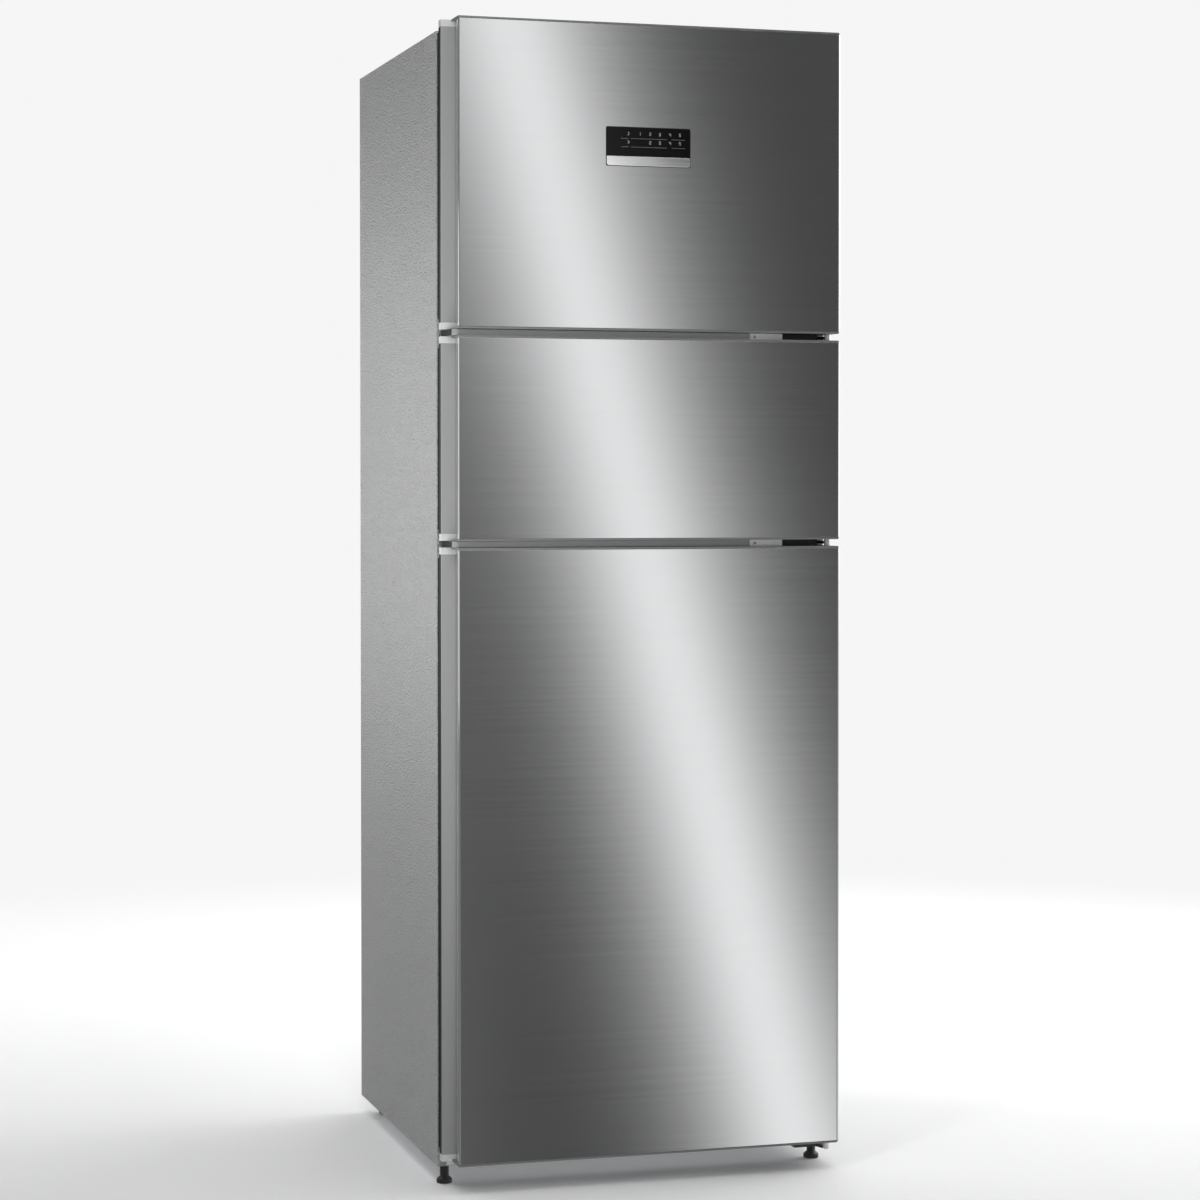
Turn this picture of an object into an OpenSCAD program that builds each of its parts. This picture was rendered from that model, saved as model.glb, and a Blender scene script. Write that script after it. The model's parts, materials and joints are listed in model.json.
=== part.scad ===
// Free-standing frost-free refrigerator with three doors, one above the other.
// Freezer above, chill compartment in the middle, fridge compartment below.
// Origin on the floor under the middle of the appliance, +Z up, front towards -Y,
// hinges on the right (+X), finger grips down the left edge of each door.

/* [Cabinet] */
// Width over the side sheets
cab_w = 605; // [595:1:640]
// Depth from the front flange to the rear sheet
cab_d = 539; // [530:1:600]
// Clear height between the floor and the underside
floor_gap = 27; // [26:0.5:32]
// Thickness of the painted outer sheet
sheet_t = 1; // [0.8:0.1:1.4]
// Side wall with its insulation and both skins
side_wall = 45; // [42:1:50]
// Rear wall with its insulation and both skins
rear_wall = 50; // [46:1:60]
// Roof with its insulation and both skins
roof_wall = 50; // [46:1:60]
// Floor with its insulation and both skins
floor_wall = 45; // [42:1:55]
// Partition between two compartments
partition_t = 60; // [56:1:66]
// Thickness of the formed inner liners
liner_t = 2; // [1.5:0.1:2.4]
// Front flange folded from the outer sheet
flange_w = 14; // [10:1:18]

/* [Doors] */
// Height of the fridge door
fridge_door_h = 900; // [880:1:930]
// Height of the chill compartment door
chill_door_h = 298; // [290:1:330]
// Height of the freezer door
freezer_door_h = 450; // [440:1:480]
// Gap between two doors
door_gap = 10; // [9:0.5:12]
// Underside of the lowest door above the underside of the cabinet
door_lift = 13.5; // [12:0.5:16]
// Top of the highest door above the cabinet
door_rise = 12.5; // [12:0.5:15]
// Thickness of a door without its seal
door_t = 58; // [56:0.5:64]
// Room for the seal between door and cabinet
seal_gap = 15; // [14:0.5:17]
// Clearance of the seal to the cabinet, and of other parts that rest lightly
rest_clear = 0.3; // [0.2:0.05:0.4]
// Width of the ledge that the grip side stands out beyond the front panel
grip_step = 15.3; // [13:0.1:17]
// Thickness of the door's steel skin
skin_t = 1; // [0.8:0.1:1.2]
// Bend radius of the skin's hinge-side edge
edge_r = 4.5; // [3:0.5:6]
// Radius of the finger channel
cove_r = 16; // [14:0.5:16.5]
// Flat run of the finger channel behind the panel's edge
cove_in = 9; // [7:0.5:12]
// Depth from the front panel to the ledge behind the finger channel
ledge_v = 44; // [42:0.5:46]
// Wall of the grip profile
grip_wall = 2.5; // [2:0.1:3]
// Lip of an end cap that shows past the steel
cap_lip = 2.5; // [2:0.1:3]
// Height of an end cap at the grip
cap_h = 10; // [8:0.5:12]
// Shadow groove between an end cap's lip and the steel
lip_groove = 0.8; // [0.5:0.1:1.2]
// Chamfer of the end caps at the hinge-side corners
corner_cut = 4; // [1.5:0.5:5]
// Distance from a door's edge to its seal
seal_inset = 16; // [15:0.5:18]
// The same distance on the grip side
seal_edge = 1.5; // [1:0.5:3]
// Width of the seal
seal_w = 11; // [9:0.5:12]
// Height of the door liner's raised rim behind the door
rim_h = 30; // [26:1:34]
// Width of that rim
rim_w = 20; // [16:1:24]
// Clearance of the rim to the hinge-side compartment wall
rim_clear = 14; // [12:0.5:18]
// Extra clearance of the rim on the swinging side
rim_swing = 7; // [6:0.5:10]

/* [Hinges] */
// Hinge pin axis from the door's hinge-side edge
pin_in = 13; // [12:0.5:15]
// Hinge pin axis behind the door's front
pin_back = 22; // [20:0.5:24]
// Radius of the hinge pins
pin_r = 3.5; // [3.2:0.1:4]
// Radial running clearance of a pin in its bush
pin_clear = 0.05; // [0.02:0.01:0.1]
// Length of pin inside a bush
pin_grip = 10; // [8:0.5:12]
// Radius of the steel barrel that carries the pins of a hinge
barrel_r = 4.6; // [4.4:0.1:5]
// Radius of the bush in an end cap
bush_r = 8; // [7.5:0.1:8.5]
// Thickness of the hinge plates
plate_t = 4; // [3:0.2:4.4]
// How much lower than the other plates the lower hinge's plate lies
bottom_drop = 6; // [0:0.5:6]
// Width of a hinge plate where it is screwed on
hinge_w = 66; // [60:1:72]
// Width of the bottom hinge's plate
bottom_w = 44; // [42:1:60]
// Length of the plastic cover beside each middle hinge
cover_w = 52; // [46:1:56]
// Part of that cover that lies a step further back
cover_step = 16; // [12:1:20]
// Part of that cover beside the hinge, level with the hinge's front
cover_end = 7.5; // [6:0.5:10]
// How far the hinge fronts stand out of the cabinet
hinge_out = 35; // [30:1:38]
// How far the rails and their covers stand out of the cabinet
bar_out = 60; // [50:1:66]
// How far a rail's open end passes the steel's edge
bar_over = 7; // [5:0.5:9]
// Clearance between a rail and the doors over and under it
bar_clear = 0.5; // [0.5:0.1:1.5]

/* [Display] */
// Width of the display
disp_w = 128.5; // [120:0.5:140]
// Height of the black glass
disp_h = 42.5; // [36:0.5:46]
// Height of the bright strip under the glass
strip_h = 13.5; // [10:0.5:16]
// Display's lower edge above the freezer door's lower edge
disp_up = 241.5; // [230:0.5:260]
// How far the display stands out of the steel
disp_proud = 1.2; // [0.8:0.1:2]
// Thickness of the display
disp_t = 6; // [5:0.5:8]
// Corner radius of the display
disp_r = 3.5; // [2:0.5:5]

/* [Inside] */
// Width of the ice bin's pull
pull_w = 60; // [40:1:80]
// Height of the ice bin's pull
pull_h = 10; // [8:0.5:12]
// Depth of the fridge door's racks
rack_d = 95; // [85:1:100]
// Depth of the freezer door's racks
ice_rack_d = 70; // [60:1:76]
// Height of a freezer rack at the door
ice_rack_h = 80; // [60:1:90]
// Rise from one freezer rack to the next
ice_rack_rise = 150; // [130:1:150]
// Height of the fridge racks at the door
rack_h = 90; // [80:1:110]
// Rise from the bottle rack to the next
rack_rise = 205; // [190:1:215]
// Wall of the clear racks and drawers
rack_wall = 2.5; // [2:0.1:3]
// Shelf front edge behind the cabinet's front
shelf_set = 102; // [98:1:110]
// Thickness of a glass shelf
glass_t = 4; // [3.5:0.1:5]
// Width of the ledges that carry shelves
ledge_w = 8; // [7:0.5:10]
// Height of those ledges
ledge_h = 6; // [5:0.5:8]
// Crisper front behind the cabinet's front
crisper_set = 137; // [132:1:145]
// Height of the crisper drawer
crisper_h = 185; // [170:1:190]
// Height of the lower glass shelf above the crisper cover
shelf_step = 200; // [190:1:210]
// Chill drawer front behind the cabinet's front
chill_set = 112; // [108:1:120]
// Room between the freezer shelf and the freezer's ceiling
freezer_top_room = 212.5; // [208:0.5:218]
// Length of the ice maker
ice_len = 190; // [180:1:200]
// Half width of the ice maker
ice_w = 76; // [72:1:80]
// Clearance of the ice maker to the freezer's ceiling
ice_clear = 18.5; // [14:0.5:24]
// Radius of the evaporator fan
fan_r = 46; // [42:1:50]
// Depth of the space for the evaporator
evap_d = 58; // [56:1:62]

/* [Underside and rear] */
// Height of the drain pan
pan_h = 42; // [34:1:48]
// Room beside the drain pan
pan_side = 60; // [50:1:80]
// Room behind the drain pan
pan_rear = 34; // [28:1:44]
// Depth of the compressor compartment
machine_d = 190; // [185:1:200]
// Height of the compressor compartment
machine_h = 190; // [186:1:200]
// How far the rear cover bulges past the rear sheet
cover_bulge = 8; // [6:0.5:10]
// Radius of a front foot's pad
foot_r = 11.5; // [11:0.5:13]
// Radius of a front foot's threaded stem
stem_r = 7; // [6:0.5:7.5]
// Radius of a rear roller
roller_r = 12.5; // [12:0.5:12.5]
// Width of a rear roller
roller_w = 16; // [14:1:20]
// Radius of the roller axles
axle_r = 3; // [2.5:0.1:3.5]
// Radius of the compressor shell
comp_r = 68; // [62:1:70]
// Radius of the hole for the mains lead
gland_r = 4.5; // [4:0.1:5]

/* [Hidden] */
$fn = 48;
EPS = 0.01;

// Overall places
total_d = disp_proud + door_t + seal_gap + cab_d + cover_bulge;
front_y = -total_d / 2 + disp_proud;
door_back_y = front_y + door_t;
cab_y0 = door_back_y + seal_gap;
cab_y1 = cab_y0 + cab_d;
half_w = cab_w / 2;
in_w = half_w - side_wall;

// Door stack from the floor up: fridge, chill compartment, freezer
fridge_z = floor_gap + door_lift;
chill_z = fridge_z + fridge_door_h + door_gap;
freezer_z = chill_z + chill_door_h + door_gap;
doors_top = freezer_z + freezer_door_h;
cab_top = doors_top - door_rise;
gap_low_z = chill_z - door_gap / 2;
gap_high_z = freezer_z - door_gap / 2;

// Compartments: lowest and highest inner surfaces
fridge_in = [floor_gap + floor_wall, gap_low_z - partition_t / 2];
chill_in = [gap_low_z + partition_t / 2, gap_high_z - partition_t / 2];
freezer_in = [gap_high_z + partition_t / 2, cab_top - roof_wall];
rear_in = cab_y1 - rear_wall;
hump_z = floor_gap + machine_h + floor_wall;
hump_y = cab_y1 - machine_d - floor_wall;

// Door panel
panel_x0 = -half_w + grip_step;
panel_x1 = half_w;
cove_v = ledge_v - cove_r;
skin_return = cove_v - cove_r - grip_wall - 0.5;
pin_x = half_w - pin_in;
pin_y = front_y + pin_back;
pin_stand = (door_gap - plate_t) / 2;
bottom_plate_z = fridge_z - pin_stand - plate_t - bottom_drop;

cabinet_grey = [0.70, 0.71, 0.72];
steel = [0.60, 0.61, 0.63];
cap_grey = [0.75, 0.76, 0.77];
liner_white = [0.93, 0.94, 0.95];
clear_blue = [0.78, 0.88, 0.93];
foam_tan = [0.90, 0.85, 0.66];
black = [0.10, 0.10, 0.11];

// Points along an arc from angle a0 to a1 in n steps
function arc(c, r, a0, a1, n = 10) =
  [for (i = [0:n]) c + r * [cos(a0 + (a1 - a0) * i / n), sin(a0 + (a1 - a0) * i / n)]];

// Box given by its lowest and highest corners
module block(lo, hi) {
  translate(lo) cube(hi - lo);
}

// Outline in the YZ plane, carried along X from x0 to x1
module along_x(x0, x1) {
  translate([x0, 0, 0]) rotate([90, 0, 90]) linear_extrude(x1 - x0) children();
}

// Rectangle with rounded corners, from its lowest to its highest corner
module round_rect(lo, hi, r) {
  polygon(concat(
    arc([hi[0] - r, hi[1] - r], r, 0, 90, 5), arc([lo[0] + r, hi[1] - r], r, 90, 180, 5),
    arc([lo[0] + r, lo[1] + r], r, 180, 270, 5), arc([hi[0] - r, lo[1] + r], r, 270, 360, 5)));
}

// Cabinet values that follow from the sizes above
base_t = 1.5;
machine_y0 = cab_y1 - machine_d;
machine_top = floor_gap + machine_h;
deck_t = 2;
deck_top = floor_gap + deck_t;
foot_x = half_w - foot_r - 2;
pad_h = 6;
stem_top = floor_gap + 18;
boss_r = stem_r + 3;
foot_y = cab_y0 + liner_t + boss_r + 0.6;
boss_top = stem_top + 4;
roller_x = half_w - 32;
roller_y = cab_y1 - 30;
ear_r = 6.5;
gland_x = -half_w + 32;
gland_z = floor_gap + 42;
glide_in = 60;
duct_t = 20;
duct_w = 130;
shelf_y0 = cab_y0 + shelf_set;
shelf_y1 = rear_in - duct_t - 3;
shelf_z0 = fridge_in[0] + crisper_h + 12;
shelf_zs = [shelf_z0, shelf_z0 + shelf_step, shelf_z0 + 2 * shelf_step];
freezer_shelf_z = freezer_in[1] - freezer_top_room;
evap_y0 = rear_in - evap_d;

// One compartment's inside, grown by g, running out past the cabinet's front
module space(z, g) {
  block([-in_w - g, cab_y0 - 1, z[0] - g], [in_w + g, rear_in + g, z[1] + g]);
}

// The fridge compartment steps forward over the compressor
module fridge_space(g) {
  along_x(-in_w - g, in_w + g) polygon([
    [cab_y0 - 1, fridge_in[0] - g], [hump_y + g, fridge_in[0] - g],
    [hump_y + 20 + g, hump_z - g], [rear_in + g, hump_z - g],
    [rear_in + g, fridge_in[1] + g], [cab_y0 - 1, fridge_in[1] + g]]);
}

// Ledge on both side walls, its top at height z
module ledges(z, y1) {
  for (s = [-1, 1])
    block([min(s * in_w, s * (in_w - ledge_w)), shelf_y0, z - ledge_h],
          [max(s * in_w, s * (in_w - ledge_w)), y1, z]);
}

// Flange of a liner on the cabinet's front, between heights z0 and z1
module liner_flange(z0, z1) {
  difference() {
    block([-half_w + sheet_t, cab_y0, z0], [half_w - sheet_t, cab_y0 + liner_t, z1]);
    wrap_flange();
  }
}

// The outer sheet's flange: a ring open at the foot
module wrap_flange() {
  difference() {
    block([-half_w, cab_y0 - 1, floor_gap - 1], [half_w, cab_y0 + sheet_t, cab_top]);
    block([-half_w + flange_w, cab_y0 - 2, floor_gap - 2],
          [half_w - flange_w, cab_y0 + sheet_t + 1, cab_top - flange_w]);
  }
}

module outer_wrap() {
  color(cabinet_grey) difference() {
    block([-half_w, cab_y0, floor_gap], [half_w, cab_y1, cab_top]);
    block([-half_w + sheet_t, cab_y0 + sheet_t, floor_gap - 1],
          [half_w - sheet_t, cab_y1 + 1, cab_top - sheet_t]);
    block([-half_w + flange_w, cab_y0 - 1, floor_gap - 1],
          [half_w - flange_w, cab_y0 + sheet_t + 1, cab_top - flange_w]);
  }
}

module rear_panel() {
  bead = 1.5;
  color(cabinet_grey) {
    block([-half_w + sheet_t, cab_y1 - sheet_t, machine_top + base_t],
          [half_w - sheet_t, cab_y1, cab_top - sheet_t]);
    for (x = [-half_w / 2 : half_w / 4 : half_w / 2])
      block([x - 6, cab_y1 - EPS, machine_top + 90], [x + 6, cab_y1 + bead, cab_top - 90]);
  }
}

module cabinet_foam() {
  color(foam_tan) difference() {
    block([-half_w + sheet_t, cab_y0 + liner_t, floor_gap + base_t],
          [half_w - sheet_t, cab_y1 - sheet_t, cab_top - sheet_t]);
    space(freezer_in, liner_t);
    space(chill_in, liner_t);
    fridge_space(liner_t);
    block([-half_w, machine_y0 - base_t, floor_gap - 1],
          [half_w, cab_y1 + 1, machine_top + base_t]);
    for (s = [-1, 1]) translate([s * foot_x, foot_y, floor_gap]) cylinder(r = boss_r, h = boss_top - floor_gap);
  }
}

module freezer_liner() {
  color(liner_white) {
    difference() {
      union() {
        intersection() {
          space(freezer_in, liner_t);
          block([-half_w, cab_y0, 0], [half_w, cab_y1, doors_top]);
        }
        liner_flange(gap_high_z, cab_top - sheet_t);
      }
      space(freezer_in, 0);
    }
    ledges(freezer_shelf_z, evap_y0 - 3);
  }
}

module chill_liner() {
  color(liner_white) difference() {
    union() {
      intersection() {
        space(chill_in, liner_t);
        block([-half_w, cab_y0, 0], [half_w, cab_y1, doors_top]);
      }
      liner_flange(gap_low_z, gap_high_z);
    }
    space(chill_in, 0);
  }
}

module fridge_liner() {
  color(liner_white) {
    difference() {
      union() {
        intersection() {
          fridge_space(liner_t);
          block([-half_w, cab_y0, 0], [half_w, cab_y1, doors_top]);
        }
        liner_flange(floor_gap + base_t, gap_low_z);
      }
      fridge_space(0);
    }
    for (z = shelf_zs) ledges(z, shelf_y1);
  }
}

// Steel floor, riser and ceiling of the compressor compartment, with the nuts of the feet
module base_frame() {
  color(cabinet_grey) difference() {
    union() {
      along_x(-half_w + sheet_t, half_w - sheet_t) polygon([
        [cab_y0 + liner_t, floor_gap], [machine_y0, floor_gap], [machine_y0, machine_top],
        [cab_y1 - sheet_t, machine_top], [cab_y1 - sheet_t, machine_top + base_t],
        [machine_y0 - base_t, machine_top + base_t], [machine_y0 - base_t, floor_gap + base_t],
        [cab_y0 + liner_t, floor_gap + base_t]]);
      for (s = [-1, 1]) translate([s * foot_x, foot_y, floor_gap])
        cylinder(r = boss_r, h = boss_top - floor_gap);
      for (s = [-1, 1]) block([s * (half_w - sheet_t) - (s > 0 ? base_t : 0), machine_y0 - base_t, deck_top],
        [s * (half_w - sheet_t) + (s < 0 ? base_t : 0), cab_y1 - sheet_t, machine_top + base_t]);
    }
    for (s = [-1, 1]) translate([s * foot_x, foot_y, floor_gap - 1])
      cylinder(r = stem_r + pin_clear, h = stem_top - floor_gap + 2);
  }
}

// Plate under the compressor, with the ears and axles of the rear rollers
module compressor_deck() {
  ear_t = 2.5;
  side = roller_w / 2 + 1;
  color(cabinet_grey) {
    block([-half_w + sheet_t, machine_y0, floor_gap], [half_w - sheet_t, cab_y1 - sheet_t, deck_top]);
    for (s = [-1, 1]) translate([s * roller_x, 0, 0]) {
      for (e = [-1, 1]) translate([e * (side + ear_t / 2) - ear_t / 2, roller_y, roller_r]) {
        rotate([0, 90, 0]) cylinder(r = ear_r, h = ear_t);
        block([0, -ear_r, 0], [ear_t, ear_r, floor_gap - roller_r + EPS]);
      }
      translate([-side - ear_t, roller_y, roller_r]) rotate([0, 90, 0])
        cylinder(r = axle_r, h = 2 * (side + ear_t));
    }
  }
}

// Levelling foot: notched pad, flared neck and a stem with thread rings
module front_foot(s) {
  neck = pad_h + 4;
  ring = 3;
  rings = floor((floor_gap - neck - 1) / ring);
  color(black) translate([s * foot_x, foot_y, 0]) difference() {
    rotate_extrude() polygon(concat(
      [[0, 0], [foot_r - 0.8, 0], [foot_r, 0.8], [foot_r, pad_h], [stem_r + 1.5, neck - 1], [stem_r, neck]],
      [for (i = [0:rings - 1], p = [[0, 0.3], [-0.7, 1], [-0.7, 2], [0, 2.7]])
        [stem_r + p[0], neck + i * ring + p[1]]],
      [[stem_r, stem_top], [0, stem_top]]));
    for (i = [0:11]) rotate(i * 30) translate([foot_r + 0.3, 0, 1.2]) cylinder(r = 1, h = pad_h, $fn = 16);
  }
}

module front_foot_left() {
  front_foot(-1);
}

module front_foot_right() {
  front_foot(1);
}

// Roller with a raised tread, turning on its axle
module rear_roller(s) {
  color(black) translate([s * roller_x, roller_y, roller_r]) rotate([0, 90, 0])
    difference() {
      union() {
        translate([0, 0, -roller_w / 2]) cylinder(r = roller_r - 1, h = roller_w);
        translate([0, 0, -roller_w / 2 + 2]) cylinder(r = roller_r, h = roller_w - 4);
      }
      translate([0, 0, -roller_w]) cylinder(r = axle_r + pin_clear, h = 2 * roller_w);
    }
}

module rear_roller_left() {
  rear_roller(-1);
}

module rear_roller_right() {
  rear_roller(1);
}

// Hinges and the parts in the gaps between the doors
hinge_x0 = half_w - flange_w - hinge_w;
bottom_x0 = half_w - flange_w - bottom_w;
cover_x1 = hinge_x0 - cover_end;
cover_x0 = cover_x1 - cover_w;
face_y = cab_y0 - hinge_out;
bar_y = cab_y0 - bar_out;
bar_half = door_gap / 2 - bar_clear;
leg_t = 3;
leg_h = 13;
lobe_r = bush_r + 1;
shoulder_r = 6.5;
pocket_lip = 3.5;
pocket_floor = cab_top - 3;
screw_in = [10, 42];
bottom_in = [8, 25];
screw_xs = [for (d = screw_in) hinge_x0 + d];
bottom_xs = [for (d = bottom_in) bottom_x0 + d];
bottom_screw_z = fridge_z + 4;

// Plan of the top hinge's plate, from its screwed end at depth y1 to the lobe round the pin
module hinge_plan(y1) {
  polygon(concat([[hinge_x0, y1], [hinge_x0, cab_y0 - leg_t]],
    arc([pin_x, pin_y], lobe_r, 180, 360, 12), [[pin_x + lobe_r, y1]]));
}

// Plan of a plate that starts at x0 and holds the barrel in its front edge
module arm_plan(x0) {
  difference() {
    polygon([[x0, cab_y0], [x0, face_y], [pin_x - barrel_r - 6, face_y], [pin_x - barrel_r, pin_y + 0.5],
             [pin_x + barrel_r, pin_y + 0.5], [pin_x + lobe_r, face_y], [pin_x + lobe_r, cab_y0]]);
    translate([pin_x, pin_y]) circle(r = barrel_r + pin_clear);
  }
}

// Front of a middle hinge, as high as the rails, with rounded ends
module hinge_front(z) {
  translate([0, face_y + 2, 0]) rotate([90, 0, 0]) linear_extrude(2)
    round_rect([hinge_x0, z - bar_half], [pin_x - barrel_r - 5, z + bar_half], 2);
}

// Screwed leg of a hinge on the cabinet's front, from x0, z0 to z1, with two screw holes
module hinge_leg(x0, z0, z1, hole_xs, hole_z) {
  difference() {
    block([x0, cab_y0 - leg_t, z0], [pin_x - 12, cab_y0, z1]);
    for (x = hole_xs) translate([x, cab_y0 + 1, hole_z]) rotate([90, 0, 0])
      cylinder(r = 2.2, h = leg_t + 2);
  }
}

module middle_hinges() {
  color(black) for (z = [gap_low_z, gap_high_z]) {
    translate([0, 0, z - plate_t / 2]) linear_extrude(plate_t) arm_plan(hinge_x0);
    hinge_front(z);
    hinge_leg(hinge_x0, z - leg_h, z + leg_h, screw_xs, z + 8);
  }
}

module bottom_hinge() {
  z = bottom_plate_z;
  color(black) {
    translate([0, 0, z]) linear_extrude(plate_t) arm_plan(bottom_x0);
    hinge_leg(bottom_x0, z, fridge_z + 10, bottom_xs, bottom_screw_z);
  }
}

module top_hinge() {
  z = cab_top;
  color(black) {
    difference() {
      translate([0, 0, z]) linear_extrude(plate_t) hinge_plan(cab_y0 + 60);
      for (x = screw_xs) translate([x, cab_y0 + 34, z - 1]) cylinder(r = 2.6, h = plate_t + 2);
    }
    translate([pin_x, pin_y, z - 3 - pin_grip]) cylinder(r = pin_r, h = 3 + pin_grip + plate_t);
    translate([pin_x, pin_y, z - 3 + rest_clear]) cylinder(r = shoulder_r, h = 3);
  }
}

// Steel barrel between z0 and z1 with a pin up to a door and a pin down to another
module hinge_barrel(z0, z1, up, down) {
  translate([pin_x, pin_y, 0]) {
    translate([0, 0, z0]) cylinder(r = barrel_r, h = z1 - z0);
    translate([0, 0, z0 - down]) cylinder(r = pin_r, h = z1 - z0 + up + down);
  }
}

// Barrels with their pins, and the screws that hold the hinges
module hinge_hardware() {
  half = door_gap / 2;
  color("silver") {
    for (z = [gap_low_z, gap_high_z]) hinge_barrel(z - half + rest_clear, z + half - rest_clear,
      pin_grip + rest_clear, pin_grip + rest_clear);
    hinge_barrel(bottom_plate_z, fridge_z - rest_clear, pin_grip + rest_clear, 0);
    for (z = [gap_low_z + 8, gap_high_z + 8], x = screw_xs)
      translate([x, cab_y0 - leg_t, z]) rotate([90, 0, 0]) screw_head();
    for (x = bottom_xs) translate([x, cab_y0 - leg_t, bottom_screw_z]) rotate([90, 0, 0]) screw_head();
    for (x = screw_xs) translate([x, cab_y0 + 34, cab_top + plate_t]) screw_head();
  }
}

// Cross-slotted pan head with a short shank
module screw_head() {
  difference() {
    union() {
      cylinder(r = 4.5, h = 2.4);
      translate([0, 0, -2.8]) cylinder(r = 2, h = 3);
    }
    for (a = [0, 90]) rotate(a) translate([-3, -0.5, 1.4]) cube([6, 1, 2]);
  }
}

// Moulded cover over the top hinge's screws, open at the front for the plate
module top_hinge_cover() {
  wall = 2;
  lo = [hinge_x0 - 4, cab_y0 + 10];
  hi = [pin_x + lobe_r + 2.6, cab_y0 + 78];
  color(cap_grey) difference() {
    translate([0, 0, cab_top]) linear_extrude(door_rise - 0.5) round_rect(lo, hi, 8);
    translate([0, 0, cab_top - 1]) linear_extrude(door_rise - 0.5 - wall + 1)
      round_rect(lo + [wall, wall], hi - [wall, wall], 6);
    block([hinge_x0 - 1, cab_y0, cab_top - 1], [pin_x + lobe_r + 0.6, cab_y0 + 20, cab_top + plate_t + 0.6]);
  }
}

// Satin rails that fill the gaps between the doors, open behind
module gap_bars() {
  wall = 1.5;
  h = bar_half;
  x0 = panel_x0 - bar_over;
  color("silver") for (z = [gap_low_z, gap_high_z]) difference() {
    block([x0, bar_y, z - h], [cover_x0 - 0.5, cab_y0, z + h]);
    block([x0 - 1, bar_y + wall, z - h + wall], [cover_x0 + 1, cab_y0 + 1, z + h - wall]);
  }
}

// Plain plastic piece between each rail and its hinge, with one screw hole and two steps
module gap_bar_covers() {
  h = bar_half;
  color(cap_grey) for (z = [gap_low_z, gap_high_z]) difference() {
    block([cover_x0, bar_y + 0.5, z - h], [hinge_x0 - 0.5, cab_y0, z + h]);
    block([cover_x1 - cover_step, bar_y, z - h - 1], [hinge_x0, bar_y + 2, z + h + 1]);
    block([cover_x1, bar_y, z - h - 1], [hinge_x0, face_y, z + h + 1]);
    translate([cover_x0 + 8, bar_y - 1, z - 0.5]) rotate([-90, 0, 0]) cylinder(r = 2, h = 9);
  }
}

// Round-cornered box open at the top, walls w thick
module tub(lo, hi, w, r) {
  difference() {
    translate([0, 0, lo[2]]) linear_extrude(hi[2] - lo[2]) round_rect([lo[0], lo[1]], [hi[0], hi[1]], r);
    translate([0, 0, lo[2] + w]) linear_extrude(hi[2] - lo[2])
      round_rect([lo[0] + w, lo[1] + w], [hi[0] - w, hi[1] - w], max(r - w, 0.5));
  }
}

// Compressor compartment
comp_x = half_w / 2;
comp_y = (machine_y0 + cab_y1) / 2;
comp_z = deck_top + 16;
comp_h = machine_h - 46;
mount_dx = comp_r + 6;
mount_dy = 40;
mount_hole_r = 5;

module compressor() {
  color(black) translate([comp_x, comp_y, comp_z]) {
    difference() {
      block([-mount_dx - 12, -mount_dy - 12, 0], [mount_dx + 12, mount_dy + 12, 3]);
      for (x = [-mount_dx, mount_dx], y = [-mount_dy, mount_dy])
        translate([x, y, -1]) cylinder(r = mount_hole_r, h = 5);
    }
    rotate_extrude() polygon(concat([[0, 2]], arc([comp_r - 20, 22], 20, -90, 0, 5),
      [[comp_r, comp_h * 0.48], [comp_r + 3, comp_h * 0.48], [comp_r + 3, comp_h * 0.48 + 5],
       [comp_r - 1, comp_h * 0.48 + 5]], arc([comp_r - 31, comp_h - 30], 30, 0, 90, 6),
      [[0, comp_h]]));
    translate([-comp_r - 20, -22, comp_h * 0.2]) cube([30, 44, 46]);
  }
}

module compressor_mounts() {
  color("dimgray") for (x = [-mount_dx, mount_dx], y = [-mount_dy, mount_dy])
    translate([comp_x + x, comp_y + y, 0]) {
      translate([0, 0, deck_top]) cylinder(r = 9, h = comp_z - deck_top);
      translate([0, 0, comp_z - EPS]) cylinder(r = mount_hole_r - 0.2, h = 5);
      translate([0, 0, comp_z + 3.2]) cylinder(r = 8, h = 3);
    }
}

module drain_pan() {
  lo = [-half_w + pan_side, machine_y0 + 14, deck_top];
  color(black) tub(lo, [-pan_side / 2, cab_y1 - pan_rear, deck_top + pan_h], 2, 14);
}

// Straight bar of radius r from a to b
module bar(a, b, r) {
  d = b - a;
  translate(a) rotate([0, acos(d[2] / norm(d)), atan2(d[1], d[0])]) cylinder(r = r, h = norm(d), $fn = 24);
}

// Tube through points, with a slightly swollen elbow at each corner
module tube_run(pts, r) {
  for (i = [0:len(pts) - 2]) bar(pts[i], pts[i + 1], r);
  if (len(pts) > 2) for (i = [1:len(pts) - 2]) translate(pts[i]) sphere(r = r * 1.12, $fn = 24);
}

// Copper pipes between the compressor, the filter drier and the ceiling
module refrigerant_pipes() {
  pipe_r = 3.2;
  drier_x = 6;
  drier_y = machine_y0 + 30;
  side_x = comp_x - comp_r - 34;
  color([0.72, 0.45, 0.30]) {
    tube_run([[comp_x - comp_r + 3, comp_y + 30, comp_z + 24], [side_x, comp_y + 30, comp_z + 24],
              [side_x, drier_y, comp_z + 24], [drier_x, drier_y, comp_z + 24],
              [drier_x, drier_y, comp_z + 40]], pipe_r);
    translate([drier_x, drier_y, comp_z + 38]) cylinder(r = 9, h = 70);
    translate([drier_x, drier_y, comp_z + 100]) cylinder(r = pipe_r, h = machine_top - comp_z - 100);
    tube_run([[comp_x - 20, comp_y, comp_z + comp_h - 8], [comp_x - 20, comp_y, comp_z + comp_h + 14],
              [comp_x - 20, machine_y0, comp_z + comp_h + 14]], pipe_r);
  }
}

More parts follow.
